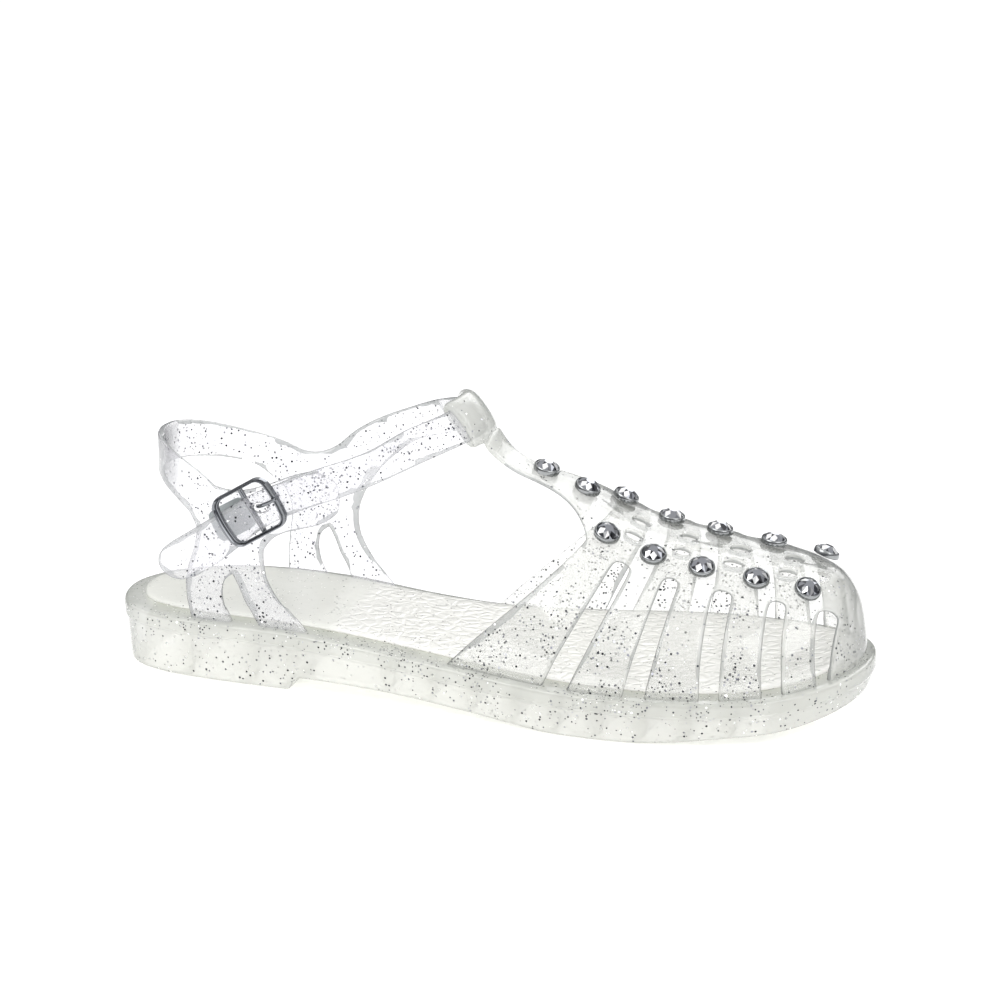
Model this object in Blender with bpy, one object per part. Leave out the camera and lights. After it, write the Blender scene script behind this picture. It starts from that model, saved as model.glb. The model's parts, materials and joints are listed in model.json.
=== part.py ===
"""Jelly sandal, right shoe: a clear moulded PVC upper on a hollow moulded sole, with a buckle and twelve stones.

Metres. +X is the toe, +Y the inner side of the foot, +Z up; the sole stands on Z = 0 with its middle on X = Y = 0.
"""

import math

import bmesh
import bpy
import numpy as np
from mathutils import Matrix, Vector

# Driving dimensions
LENGTH = 0.252  # sole, heel to toe
BALL_WIDTH = 0.093  # sole across the ball
HEEL_TOP = 0.0203  # floor to the sole's top edge at the heel
INSTEP_TOP = 0.0664  # floor to the top of the vamp where the T-bar starts
ANKLE_TOP = 0.0610  # floor to the middle of the ankle strap at the buckle
GAP = 0.0003  # between pieces that meet
# Sole
RIM_STEP = 0.0008  # how far the top band stands proud of the side wall
BAND = 0.0046  # height of the top band
DECK = 0.0034  # thickness of the sole over its hollows
EDGE = 0.0008  # soft edge of the sole
FOOT_INSET = 0.0020  # how far the side wall tapers in down to the floor
SIDE_WALL = 0.0032  # wall round the hollow underside
HEEL_LONG = 0.0660  # heel, back to breast
BREAST_RUN = 0.0040
HEEL_HOLLOWS = ((0.114, 0.379), (0.439, 0.727), (0.788, 0.924))  # shares of the heel's length
WAIST_HOLLOW = 0.0240
HOLLOW = 0.0100  # hollows of the forefoot
LUG = 0.0045  # ribs between them
TOE_SOLID = 0.0150
LUG_WAVE = 0.0030  # how far the forefoot ribs zigzag
LEDGE = 0.0035  # sole's edge to the upper
INSOLE_THICK = 0.0018
INSOLE_ROOM = 0.0013  # insole's edge to the foot of the upper's wall, which leans in over it
# Upper
WALL = 0.0022
CHAMFER = 0.0005
SLANT_FROM = 60.0  # degrees up the section where the straps start to sweep back
SLANT_POWER = 1.5
BAR_HALF = 0.0026  # half the centre bar
WINDOW_OUT = 0.0068  # centre line to the windows' outer edge
STONE_ROW = 0.0123  # centre line to a row of stones
BAND_OUT = 0.0180  # centre line to the ends of the side slots
SLOT_ROUND = 0.0022
CLOSING = 5.4  # bands' half width in a section's girth, under which the centre rows close up towards the toe
RAISE = 0.0009  # relief of the woven centre
# Heel, ankle strap and sleeve
JOIN_HEIGHT = 0.0550  # where the quarters have drawn in to the ankle
STRAP_WIDE = 0.0118
STRAP_RISE = 1.71  # height gained towards the toe, in ANKLE_TOP over LENGTH
STRAP_LEAN = 0.72  # how far the strap leans back at the instep
BUCKLE_AT = 0.222  # share of LENGTH
BUCKLE_RISE = 0.60  # slope of the strap where it passes the buckle
SLEEVE_LONG = 0.0200
SLEEVE_FRONT = 0.0034
SLEEVE_BACK = 0.0018
# Buckle
BUCKLE_LONG, BUCKLE_TALL = 0.0224, 0.0180
BUCKLE_WIRE, BUCKLE_THICK = 0.0022, 0.0016
PIN = 0.0008  # radius of the middle bar and the prong
PLATE_LONG, PLATE_TALL, PLATE_THICK = 0.0095, 0.0110, 0.0007
PRONG_HOLE = 0.0017  # radius
# Stones
STONE = 0.0034  # radius
BEZEL = 0.0043  # outer radius of a setting
BEZEL_TALL = 0.0020

# Along and the heights are shares of LENGTH and HEEL_TOP, outer and inner are shares of BALL_WIDTH.
SOLE = (
    # along, outer, inner, top, underside
    (0.000, 0.000, 0.000, 1.000, 0.220),
    (0.018, 0.178, 0.155, 1.000, 0.220),
    (0.065, 0.285, 0.277, 1.000, 0.220),
    (0.150, 0.334, 0.354, 0.998, 0.220),
    (0.270, 0.363, 0.337, 0.990, 0.220),
    (0.390, 0.405, 0.287, 0.900, 0.200),
    (0.510, 0.468, 0.290, 0.805, 0.115),
    (0.630, 0.533, 0.383, 0.740, 0.000),
    (0.740, 0.540, 0.461, 0.715, 0.000),
    (0.840, 0.489, 0.467, 0.715, 0.105),
    (0.920, 0.381, 0.399, 0.755, 0.165),
    (0.975, 0.215, 0.260, 0.840, 0.300),
    (1.000, -0.017, 0.017, 0.920, 0.385),
)
# The top line of the last, on the sole's rows: along of LENGTH, height of INSTEP_TOP, rise of the way from there up to
# the ankle strap, shift of BALL_WIDTH, and how far round the section, of a half turn, the centre line lies.
CROWN = (
    # row, along, height, rise, shift, middle
    (5.85, 0.502, 1.000, 0.835, 0.043, 0.465),
    (6.00, 0.512, 1.000, 0.635, 0.043, 0.465),
    (6.20, 0.534, 1.000, 0.408, 0.043, 0.465),
    (6.45, 0.563, 1.000, 0.277, 0.043, 0.465),
    (6.75, 0.600, 1.000, 0.140, 0.054, 0.462),
    (7.00, 0.630, 1.000, 0.000, 0.065, 0.450),
    (7.25, 0.658, 0.944, 0.000, 0.075, 0.430),
    (7.65, 0.702, 0.874, 0.000, 0.086, 0.418),
    (8.20, 0.760, 0.827, 0.000, 0.086, 0.415),
    (8.85, 0.825, 0.783, 0.000, 0.086, 0.415),
    (9.50, 0.880, 0.749, 0.000, 0.086, 0.420),
    (10.00, 0.920, 0.717, 0.000, 0.080, 0.430),
    (10.50, 0.949, 0.669, 0.000, 0.070, 0.445),
    (11.00, 0.971, 0.581, 0.000, 0.050, 0.465),
    (11.50, 0.982, 0.452, 0.000, 0.030, 0.480),
    (12.00, 0.986, 0.282, 0.000, 0.017, 0.490),
    (12.50, 0.982, 0.112, 0.000, 0.004, 0.490),
)
# Half width of the T-bar, in metres, at shares of LENGTH; its last row is the throat.
T_BAR = (
    # along, half_width
    (0.5035, 0.0070),
    (0.5120, 0.0064),
    (0.5240, 0.0056),
    (0.5400, 0.0053),
    (0.5615, 0.0054),
    (0.5833, 0.0065),
    (0.6032, 0.0082),
    (0.6230, 0.0108),
    (0.6389, 0.0146),
)
# Where each strap lies at the top line and at the sole, in shares of LENGTH.
STRAPS = (
    # top_from, top_to, foot_from, foot_to
    (0.6468, 0.6865, 0.4821, 0.6131),
    (0.7083, 0.7500, 0.6468, 0.7183),
    (0.7698, 0.8135, 0.7460, 0.8135),
    (0.8373, 0.8829, 0.8373, 0.8869),
    (0.9048, 0.9444, 0.9107, 0.9464),
)
CAP_ROWS = (10.93, 11.20, 11.45, 11.70, 11.87, 12.00)  # toe cap, on the sole's rows
# The ankle in plan, at the height of the straps: along of LENGTH, outer and inner of BALL_WIDTH.
ANKLE = (
    # along, outer, inner
    (0.0525, 0.000, 0.000),
    (0.0600, 0.108, 0.108),
    (0.0860, 0.204, 0.204),
    (0.1270, 0.274, 0.280),
    (0.1825, 0.317, 0.323),
    (0.2540, 0.333, 0.339),
    (0.3214, 0.323, 0.333),
    (0.3810, 0.269, 0.290),
    (0.4286, 0.188, 0.215),
    (0.4643, 0.097, 0.124),
    (0.4780, -0.011, 0.011),
)
# Edges of the quarters and straps: along of LENGTH, height of ANKLE_TOP. Side -1 is outer, 1 inner, 2 the strap's outer
# end. From the outer quarter's front foot, over the top, round the ankle strap and down to the inner quarter's front foot.
TOP_EDGE = (
    # side, along, height
    (-1, 0.2857, 0.333),
    (-1, 0.2620, 0.434),
    (-1, 0.2440, 0.541),
    (-1, 0.2341, 0.656),
    (-1, 0.2321, 0.754),
    (-1, 0.2421, 0.828),
    (-1, 0.2620, 0.869),
    (-1, 0.2897, 0.902),
    (-1, 0.3155, 0.938),
    (-1, 0.3313, 0.992),
    (-1, 0.3341, 1.074),
    (-1, 0.3274, 1.164),
    (-1, 0.3095, 1.213),
    (-1, 0.2778, 1.193),
    (-1, 0.2381, 1.123),
    (-1, 0.1984, 1.074),
    (-1, 0.1667, 1.074),
    (-1, 0.1429, 1.131),
    (-1, 0.1111, 1.189),
    (-1, 0.0754, 1.238),
    (1, 0.0437, 1.259),
    (1, 0.0754, 1.221),
    (1, 0.1230, 1.148),
    (1, 0.1746, 1.082),
    (1, 0.2143, 1.016),
    (1, 0.2440, 1.045),
    (1, 0.2698, 1.140),
)
TAIL_EDGE = (
    # side, along, height
    (2, 0.3016, 1.240),
    (2, 0.2619, 1.165),
    (2, 0.2222, 1.090),
    (2, 0.1944, 1.015),
    (2, 0.1706, 0.950),
    (2, 0.1349, 0.852),
    (2, 0.1111, 0.787),
    (2, 0.0952, 0.713),
    (2, 0.1000, 0.640),
    (2, 0.1250, 0.590),
    (2, 0.1706, 0.680),
    (2, 0.2024, 0.785),
    (2, 0.2302, 0.885),
    (2, 0.2619, 0.968),
    (2, 0.3016, 1.043),
)
INNER_FRONT = (
    # side, along, height
    (1, 0.3452, 1.085),
    (1, 0.3214, 1.000),
    (1, 0.3016, 0.900),
    (1, 0.2857, 0.780),
    (1, 0.2817, 0.656),
    (1, 0.2917, 0.541),
    (1, 0.3095, 0.434),
    (1, 0.3353, 0.325),
)
# Under edges of the back strap with the rear edges of the legs, inner side to outer side.
BACK_EDGE = (
    # side, along, height
    (1, 0.2004, 0.333),
    (1, 0.1964, 0.525),
    (1, 0.1944, 0.656),
    (1, 0.1885, 0.754),
    (1, 0.1587, 0.885),
    (1, 0.1429, 0.934),
    (1, 0.1151, 0.977),
    (1, 0.0754, 1.016),
    (1, 0.0437, 1.040),
    (-1, 0.0794, 1.000),
    (-1, 0.1111, 0.934),
    (-1, 0.1310, 0.877),
    (-1, 0.1369, 0.770),
    (-1, 0.1349, 0.656),
    (-1, 0.1369, 0.541),
    (-1, 0.1429, 0.443),
    (-1, 0.1508, 0.333),
)
# The gap between the two legs of the outer quarter; the inner one lies INNER_AHEAD further forward.
LEG_GAP = (
    # along, height
    (0.1984, 0.333),
    (0.1881, 0.426),
    (0.1841, 0.516),
    (0.1873, 0.600),
    (0.1960, 0.600),
    (0.2079, 0.492),
    (0.2202, 0.410),
    (0.2313, 0.333),
)
INNER_AHEAD = 0.050


def clear_scene():
    for thing in list(bpy.data.objects):
        bpy.data.objects.remove(thing, do_unlink=True)


def through(rows, at):
    """A smooth value or values at a place given in the first column, through the table's rows."""
    rows = np.asarray(rows, float)
    places, values = rows[:, 0], rows[:, 1:]
    slopes = np.gradient(values, places, axis=0)
    at = np.clip(np.asarray(at, float), places[0], places[-1])
    left = np.clip(np.searchsorted(places, at, side="right") - 1, 0, len(places) - 2)
    step = (places[left + 1] - places[left])[..., None]
    part = ((at - places[left])[..., None]) / step
    rest = 1 - part
    return (
        values[left] * (1 + 2 * part) * rest**2
        + values[left + 1] * part**2 * (3 - 2 * part)
        + slopes[left] * step * part * rest**2
        - slopes[left + 1] * step * part**2 * rest
    )


def ease(part):
    part = np.clip(part, 0.0, 1.0)
    return part * part * (3 - 2 * part)


class Outline:
    """A closed curve in plan through a table's rows: up the outer side to the toe, back down the inner side."""

    def __init__(self, rows):
        rows = np.asarray(rows, float)
        along = (rows[:, 0] - 0.5) * LENGTH
        outer = np.column_stack([along, -rows[:, 1] * BALL_WIDTH])
        inner = np.column_stack([along, rows[:, 2] * BALL_WIDTH])
        self.points = np.concatenate([outer, inner[-2:0:-1]])
        self.rows = len(rows) - 1
        self.turn = np.arange(0, 2 * self.rows + 0.01, 0.05)
        curve = self.at(self.turn)[0]
        steps = np.linalg.norm(np.diff(curve, axis=0), axis=1)
        self.girth = np.concatenate([[0.0], np.cumsum(steps)])

    def at(self, turn, inset=0.0):
        """Points at places given in rows round the whole curve, and the directions inward."""
        turn = np.atleast_1d(np.asarray(turn, float))
        count = len(self.points)
        first = np.floor(turn).astype(int)
        part = (turn - first)[:, None]
        p0, p1, p2, p3 = (self.points[(first + k) % count] for k in (-1, 0, 1, 2))
        bend = 2 * p0 - 5 * p1 + 4 * p2 - p3
        twist = -p0 + 3 * p1 - 3 * p2 + p3
        point = 0.5 * (2 * p1 + (p2 - p0) * part + bend * part**2 + twist * part**3)
        run = 0.5 * ((p2 - p0) + 2 * bend * part + 3 * twist * part**2)
        inward = np.column_stack([-run[:, 1], run[:, 0]])
        inward /= np.linalg.norm(inward, axis=1)[:, None]
        return point + inward * inset, inward

    def side(self, row, side, inset=0.0):
        """Points on one side, -1 outer or 1 inner, at rows counted from the heel."""
        row = np.asarray(row, float)
        return self.at(row if side < 0 else 2 * self.rows - row, inset)[0]

    def row_of(self, along, side=-1, inset=0.0):
        """The row whose point has this X, on one side."""
        rows = np.linspace(0, self.rows, 600)
        return np.interp(along, self.side(rows, side, inset)[:, 0], rows)

    def girth_of(self, along, side):
        """Distance round the curve from the heel to the point with this X, on one side."""
        row = self.row_of(along, side)
        turn = row if side < 0 else 2 * self.rows - row
        from_start = np.interp(turn, self.turn, self.girth)
        return from_start if side < 0 else self.girth[-1] - from_start

    def walk(self, girth):
        """Points at distances from the heel: negative along the outer side, positive along the inner side and round."""
        girth = np.atleast_1d(np.asarray(girth, float))
        from_start = np.where(girth < 0, -girth, self.girth[-1] - girth)
        return self.at(np.interp(from_start, self.girth, self.turn))[0]


SOLE_OUTLINE = Outline([row[:3] for row in SOLE])
ANKLE_OUTLINE = Outline(ANKLE)
SOLE_HEIGHTS = [(k, row[3], row[4]) for k, row in enumerate(SOLE)]
BREAST = -0.5 * LENGTH + HEEL_LONG


def sole_top(row):
    return through(SOLE_HEIGHTS, row)[..., 0] * HEEL_TOP


def sole_under(row):
    """Height of the sole's underside: flat under the heel, a step up at the breast, down to the ball, up at the toe."""
    waist = np.maximum(through(SOLE_HEIGHTS, row)[..., 1] * HEEL_TOP, 0.0)
    along = SOLE_OUTLINE.side(row, -1)[:, 0]
    rise = np.sin(np.clip((along - BREAST) / BREAST_RUN, 0, 1) * math.pi / 2) ** 0.7
    return waist * rise


class Body:
    """Vertices and faces of one closed mesh, with shared corners looked up by name."""

    def __init__(self):
        self.points, self.faces, self.named = [], [], {}

    def corner(self, name, point):
        if name not in self.named:
            self.named[name] = len(self.points)
            self.points.append(tuple(float(value) for value in point))
        return self.named[name]

    def face(self, *corners):
        kept = [c for k, c in enumerate(corners) if c != corners[k - 1]]
        if len(set(kept)) > 2:
            self.faces.append(kept)


def object_from(name, points, faces, material, merge=1e-6):
    """A closed mesh object with its faces pointing out."""
    mesh = bpy.data.meshes.new(name)
    mesh.from_pydata([tuple(point) for point in points], [], [tuple(face) for face in faces])
    shape = bmesh.new()
    shape.from_mesh(mesh)
    bmesh.ops.delete(shape, geom=[v for v in shape.verts if not v.link_faces], context="VERTS")
    bmesh.ops.remove_doubles(shape, verts=shape.verts, dist=merge)
    bmesh.ops.recalc_face_normals(shape, faces=shape.faces)
    if shape.calc_volume(signed=True) < 0:
        bmesh.ops.reverse_faces(shape, faces=shape.faces)
    shape.to_mesh(mesh)
    shape.free()
    thing = bpy.data.objects.new(name, mesh)
    bpy.context.scene.collection.objects.link(thing)
    if material is not None:
        mesh.materials.append(material)
    mesh.shade_smooth()
    mesh.set_sharp_from_angle(angle=math.radians(40))
    return thing


def material(name, colour, roughness, metallic=0.0, alpha=1.0):
    made = bpy.data.materials.new(name)
    made.use_nodes = True
    made.diffuse_color = (*colour, alpha)
    shader = made.node_tree.nodes["Principled BSDF"]
    shader.inputs["Base Color"].default_value = (*colour, 1.0)
    shader.inputs["Roughness"].default_value = roughness
    shader.inputs["Metallic"].default_value = metallic
    shader.inputs["Alpha"].default_value = alpha
    return made


def pockets():
    """The hollows under the sole, as (from, to, zigzag) in metres along X, with the ribs left between them."""
    heel = -0.5 * LENGTH
    front = 0.5 * LENGTH
    hollows = [(heel + first * HEEL_LONG, heel + last * HEEL_LONG, 0.0) for first, last in HEEL_HOLLOWS]
    waist = BREAST + 1.5 * BREAST_RUN
    hollows.append((waist, waist + WAIST_HOLLOW, 0.0))
    place = waist + WAIST_HOLLOW + LUG
    while place + HOLLOW < front - TOE_SOLID:
        hollows.append((place, place + HOLLOW, LUG_WAVE))
        place += LUG + HOLLOW
    return hollows


def sole_rows(marks):
    """Rows for the sole's sections: even ones, and one at each mark, with no two too close together."""
    places = list(SOLE_OUTLINE.row_of(np.array(marks)))
    for row in np.arange(0, SOLE_OUTLINE.rows + 0.01, 0.5):
        if min(abs(row - place) for place in places) > 0.09:
            places.append(row)
    return np.array(sorted(places))


def fill_across(body, rows, ring, side_key, columns, height, wave=None):
    """Corners of a grid between the two sides of a ring: name -> index, the rows' ends taking the ring's own corners."""
    count = len(rows)
    grid = {}
    for k, row in enumerate(rows):
        outer, inner = ring(row, -1), ring(row, 1)
        for j in range(columns + 1):
            if k in (0, count - 1) or j in (0, columns):
                end = k in (0, count - 1)
                side = -1 if (end or j == 0) else 1
                grid[k, j] = body.named[(side_key, k, 0 if end else side)]
                continue
            share = j / columns
            x, y = outer + (inner - outer) * share
            if wave is not None:
                x += wave(k, j)
            grid[k, j] = body.corner((side_key, "in", k, j), (x, y, height(row)))
    return grid


def build_outsole(finish):
    hollows = pockets()
    marks = [edge for hollow in hollows for edge in hollow[:2]]
    marks += [BREAST, BREAST + 0.15 * BREAST_RUN, BREAST + 0.5 * BREAST_RUN, BREAST + BREAST_RUN]
    rows = sole_rows(marks)
    along = SOLE_OUTLINE.side(rows, -1)[:, 0]
    count = len(rows)
    body = Body()
    # Each ring of the side wall: name, inset, height above the underside or below the top
    rings = (
        ("wall", FOOT_INSET + SIDE_WALL, lambda row: sole_under(row)),
        ("foot", FOOT_INSET + EDGE, lambda row: sole_under(row)),
        ("toe_in", FOOT_INSET, lambda row: sole_under(row) + EDGE),
        ("under_band", RIM_STEP, lambda row: sole_top(row) - BAND - RIM_STEP),
        ("band", 0.0, lambda row: sole_top(row) - BAND),
        ("band_top", 0.0, lambda row: sole_top(row) - EDGE),
        ("deck", EDGE, lambda row: sole_top(row)),
    )
    for name, inset, height in rings:
        for side in (-1, 1):
            flat = SOLE_OUTLINE.side(rows, side, inset)
            tall = height(rows)
            for k in range(count):
                end = k in (0, count - 1)
                body.corner((name, k, 0 if end else side), (*flat[k], tall[k]))
    for (low, _, _), (high, _, _) in zip(rings, rings[1:]):
        for k in range(count - 1):
            for side in (-1, 1):
                a, b = (0 if k == 0 else side), (0 if k == count - 2 else side)
                body.face(
                    body.named[low, k, a],
                    body.named[low, k + 1, b],
                    body.named[high, k + 1, b],
                    body.named[high, k, a],
                )

    def ring(inset):
        return lambda row, side: SOLE_OUTLINE.side(row, side, inset)[0]

    waved = [hollow for hollow in hollows if hollow[2]]

    def zigzag(k, j):
        inside = waved[0][0] - 1e-4 < along[k] < waved[-1][1] + 1e-4
        return (LUG_WAVE if inside else 0.0) * (1 if j % 2 else -1)

    columns = 4
    inner_ring = ring(FOOT_INSET + SIDE_WALL)
    low = fill_across(body, rows, inner_ring, "wall", columns, lambda r: sole_under(r)[0], zigzag)
    high = {}
    middles = 0.5 * (along[:-1] + along[1:])
    hollow_rows = [k for k, x in enumerate(middles) if any(h[0] < x < h[1] for h in hollows)]
    hollow_cells = {(k, j) for k in hollow_rows for j in range(columns)}

    def raised(k, j):
        """The corner above a low one, on the underside of the deck."""
        if (k, j) not in high:
            x, y, _ = body.points[low[k, j]]
            high[k, j] = body.corner(("deck_under", low[k, j]), (x, y, float(sole_top(rows[k])) - DECK))
        return high[k, j]

    for k in range(count - 1):
        for j in range(columns):
            corners = ((k, j), (k, j + 1), (k + 1, j + 1), (k + 1, j))
            if (k, j) in hollow_cells:
                body.face(*(raised(*corner) for corner in corners))
                beside = ((k - 1, j), (k, j + 1), (k + 1, j), (k, j - 1))
                for n, cell in enumerate(beside):
                    if cell not in hollow_cells:
                        first, second = (corners[0], corners[1]) if n == 0 else (corners[n], corners[(n + 1) % 4])
                        body.face(low[first], low[second], raised(*second), raised(*first))
            else:
                body.face(*(low[corner] for corner in corners))
    deck = fill_across(body, rows, ring(EDGE), "deck", 2, lambda r: float(sole_top(r)))
    for k in range(count - 1):
        for j in range(2):
            body.face(deck[k, j], deck[k, j + 1], deck[k + 1, j + 1], deck[k + 1, j])
    return object_from("outsole", body.points, body.faces, finish)


def build_footbed(finish):
    rows = np.arange(0, SOLE_OUTLINE.rows + 0.01, 0.5)
    count = len(rows)
    edge = LEDGE + WALL + INSOLE_ROOM
    soft = 0.0006
    body = Body()
    rings = (("low", edge, GAP), ("side", edge, GAP + INSOLE_THICK - soft), ("top", edge + soft, GAP + INSOLE_THICK))
    for name, inset, lift in rings:
        for side in (-1, 1):
            flat = SOLE_OUTLINE.side(rows, side, inset)
            for k in range(count):
                end = k in (0, count - 1)
                body.corner((name, k, 0 if end else side), (*flat[k], float(sole_top(rows[k])) + lift))
    for (low, _, _), (high, _, _) in zip(rings, rings[1:]):
        for k in range(count - 1):
            for side in (-1, 1):
                a, b = (0 if k == 0 else side), (0 if k == count - 2 else side)
                body.face(
                    body.named[low, k, a],
                    body.named[low, k + 1, b],
                    body.named[high, k + 1, b],
                    body.named[high, k, a],
                )
    for name, inset, lift in (rings[0], rings[2]):
        grid = fill_across(
            body,
            rows,
            lambda row, side, inset=inset: SOLE_OUTLINE.side(row, side, inset)[0],
            name,
            2,
            lambda r, lift=lift: float(sole_top(r)) + lift,
        )
        for k in range(count - 1):
            for j in range(2):
                body.face(grid[k, j], grid[k, j + 1], grid[k + 1, j + 1], grid[k + 1, j])
    return object_from("footbed", body.points, body.faces, finish)


def last_point(row, turn):
    """Points on the outside of the vamp: row along the sole, turn from 0 at the outer foot to pi at the inner foot."""
    row, turn = np.broadcast_arrays(np.asarray(row, float), np.asarray(turn, float))
    shape = row.shape
    row, turn = row.ravel(), turn.ravel()
    outer = SOLE_OUTLINE.side(row, -1, LEDGE)
    inner = SOLE_OUTLINE.side(row, 1, LEDGE)
    crown = through([r[:5] for r in CROWN], row)
    top_x = (crown[:, 0] - 0.5) * LENGTH
    top_z = crown[:, 1] * INSTEP_TOP + crown[:, 2] * (strap_middle((ANKLE[-1][0] - 0.5) * LENGTH) - INSTEP_TOP)
    top_y = crown[:, 3] * BALL_WIDTH
    foot = np.where(np.cos(turn)[:, None] > 0, outer, inner)
    out = np.where(row >= SOLE_OUTLINE.rows, 1.0, np.abs(np.cos(turn)))
    floor = sole_top(row) + GAP
    x = top_x + (foot[:, 0] - top_x) * out
    y = top_y + (foot[:, 1] - top_y) * out
    top_z = np.maximum(top_z, floor)
    z = floor + (top_z - floor) * np.sin(turn)
    return np.stack([x, y, z], axis=-1).reshape(*shape, 3)


def last_normal(row, turn):
    """The direction out of the vamp at one place."""
    toe = SOLE_OUTLINE.rows
    if row > toe - 1e-6:
        return np.array([1.0, 0.0, 0.0])
    step = 0.002
    near = np.clip([row - step, row + step], None, toe)
    round_ = np.clip([turn - step, turn + step], 0, math.pi)
    along = np.subtract(*last_point(near[::-1], turn))
    across = np.subtract(*last_point(row, round_[::-1]))
    normal = np.cross(across, along)
    normal /= np.linalg.norm(normal)
    return normal if normal[2] + normal @ np.array([0, -math.cos(turn), 0]) > 0 else -normal


def crown_row(along):
    """The row whose top-line point has this share of LENGTH."""
    rows = np.linspace(CROWN[0][0], SOLE_OUTLINE.rows, 800)
    return np.interp(along, through([r[:2] for r in CROWN], rows)[:, 0], rows)


class Column:
    """One line over the vamp from foot to foot, swept back towards its feet."""

    def __init__(self, kind, top_row, foot_row, half_width=None):
        self.kind, self.top_row, self.foot_row, self.half_width = kind, top_row, foot_row, half_width
        turns = np.linspace(0, math.pi, 121)
        path = last_point(self.row(turns), turns)
        self.turns = turns
        steps = np.linalg.norm(np.diff(path, axis=0), axis=1)
        self.girth = np.concatenate([[0.0], np.cumsum(steps)])
        middle = through([(r[0], r[5]) for r in CROWN], top_row)[0] * math.pi
        self.middle = np.interp(middle, turns, self.girth)
        self.close = min(1.0, self.girth[-1] / (CLOSING * BAND_OUT))

    def row(self, turn):
        """The section's row at a turn, moved back below SLANT_FROM."""
        up = math.radians(SLANT_FROM)
        low = np.minimum(turn, math.pi - turn)
        sweep = np.clip(1 - low / up, 0, 1) ** SLANT_POWER
        return self.top_row + (self.foot_row - self.top_row) * sweep

    def turn_at(self, zone, value):
        """Turn of a grid line: a distance from the centre line, or a share from a foot to the slots' round ends."""
        if zone == "centre":
            scale = self.close if self.half_width is None else self.half_width / BAND_OUT
            place = self.middle + value * scale
        else:
            slot = (BAND_OUT + SLOT_ROUND) * self.close
            place = (self.middle - slot) * value
            if zone == "inner":
                place = self.girth[-1] - (self.girth[-1] - self.middle - slot) * value
        return np.interp(place, self.girth, self.turns)


def vamp_columns():
    columns = []
    for along, half_width in T_BAR:
        row = float(crown_row(along))
        columns.append(Column("bar", row, row, half_width))
    for k, (top_from, top_to, foot_from, foot_to) in enumerate(STRAPS):
        tops = [float(crown_row(v)) for v in (top_from, 0.5 * (top_from + top_to), top_to)]
        feet = (foot_from, 0.5 * (foot_from + foot_to), foot_to)
        feet = [float(SOLE_OUTLINE.row_of((v - 0.5) * LENGTH, -1, LEDGE)) for v in feet]
        for n in range(3):
            columns.append(Column(f"strap{k + 1}" if n < 2 else f"slot{k + 1}", tops[n], feet[n]))
        if k + 1 < len(STRAPS):
            next_top = float(crown_row(STRAPS[k + 1][0]))
            next_foot = float(SOLE_OUTLINE.row_of((STRAPS[k + 1][2] - 0.5) * LENGTH, -1, LEDGE))
        else:
            next_top = next_foot = CAP_ROWS[0]
        columns.append(Column(f"slot{k + 1}", 0.5 * (tops[2] + next_top), 0.5 * (feet[2] + next_foot)))
    columns += [Column("cap", row, row) for row in CAP_ROWS]
    return columns


def vamp_lines():
    """The grid lines across the vamp, from the outer foot to the inner foot."""
    shares = (0.0, 0.22, 0.44, 0.64, 0.83, 1.0)
    half_window = 0.5 * (BAR_HALF + WINDOW_OUT)
    out = (BAR_HALF, half_window, WINDOW_OUT, STONE_ROW, BAND_OUT)
    lines = [("outer", share) for share in shares]
    lines += [("centre", -value) for value in reversed(out)] + [("centre", 0.0)]
    lines += [("centre", value) for value in out]
    return lines + [("inner", share) for share in reversed(shares)]


def is_open(kind, lines, j):
    """Whether the cell of this column between two lines is a slot, a window or beside the T-bar."""
    (zone_a, a), (zone_b, b) = lines[j], lines[j + 1]
    central = zone_a == zone_b == "centre"
    if kind == "bar":
        return not central
    if not kind.startswith("slot"):
        return False
    if not central:
        return True
    low, high = sorted((abs(a), abs(b)))
    return kind != "slot5" and low >= BAR_HALF - 1e-9 and high <= WINDOW_OUT + 1e-9


def mould(name, places, faces, finish, wall=WALL, lifts=None):
    """A wall moulded from a sheet: places are (point, normal) on its outside, faces its cells, lifts its relief."""
    points = np.array([place[0] for place in places])
    normals = np.array([place[1] for place in places])
    raised = np.zeros(len(points)) if lifts is None else np.array(lifts)
    used = {}
    for face in faces:
        for k, corner in enumerate(face):
            nearby = face[(k + 1) % len(face)]
            used.setdefault(frozenset((corner, nearby)), []).append((corner, nearby))
    rim = [pairs[0] for pairs in used.values() if len(pairs) == 1]
    inward = {}
    for first, second in rim:
        run = points[second] - points[first]
        length = np.linalg.norm(run)
        if length < 1e-9:
            continue
        for corner in (first, second):
            side = np.cross(normals[corner], run / length)
            inward.setdefault(corner, []).append(side)
    body = Body()

    def corner(index, layer, depth, inset):
        point = points[index] + normals[index] * (raised[index] * (layer == 0) - depth)
        if inset and index in inward:
            sides = inward[index]
            total = np.sum(sides, axis=0)
            spread = max(float(total @ sides[0]), 0.5)
            point = point + total / spread * inset
        return body.corner((index, layer), point)

    layers = ((0.0, CHAMFER), (CHAMFER, 0.0), (wall, 0.0))
    for face in faces:
        body.face(*(corner(index, 0, *layers[0]) for index in face))
        body.face(*(corner(index, 2, *layers[2]) for index in reversed(face)))
    for first, second in rim:
        for layer in (0, 1):
            body.face(
                corner(second, layer, *layers[layer]),
                corner(first, layer, *layers[layer]),
                corner(first, layer + 1, *layers[layer + 1]),
                corner(second, layer + 1, *layers[layer + 1]),
            )
    return object_from(name, body.points, body.faces, finish)


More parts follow.
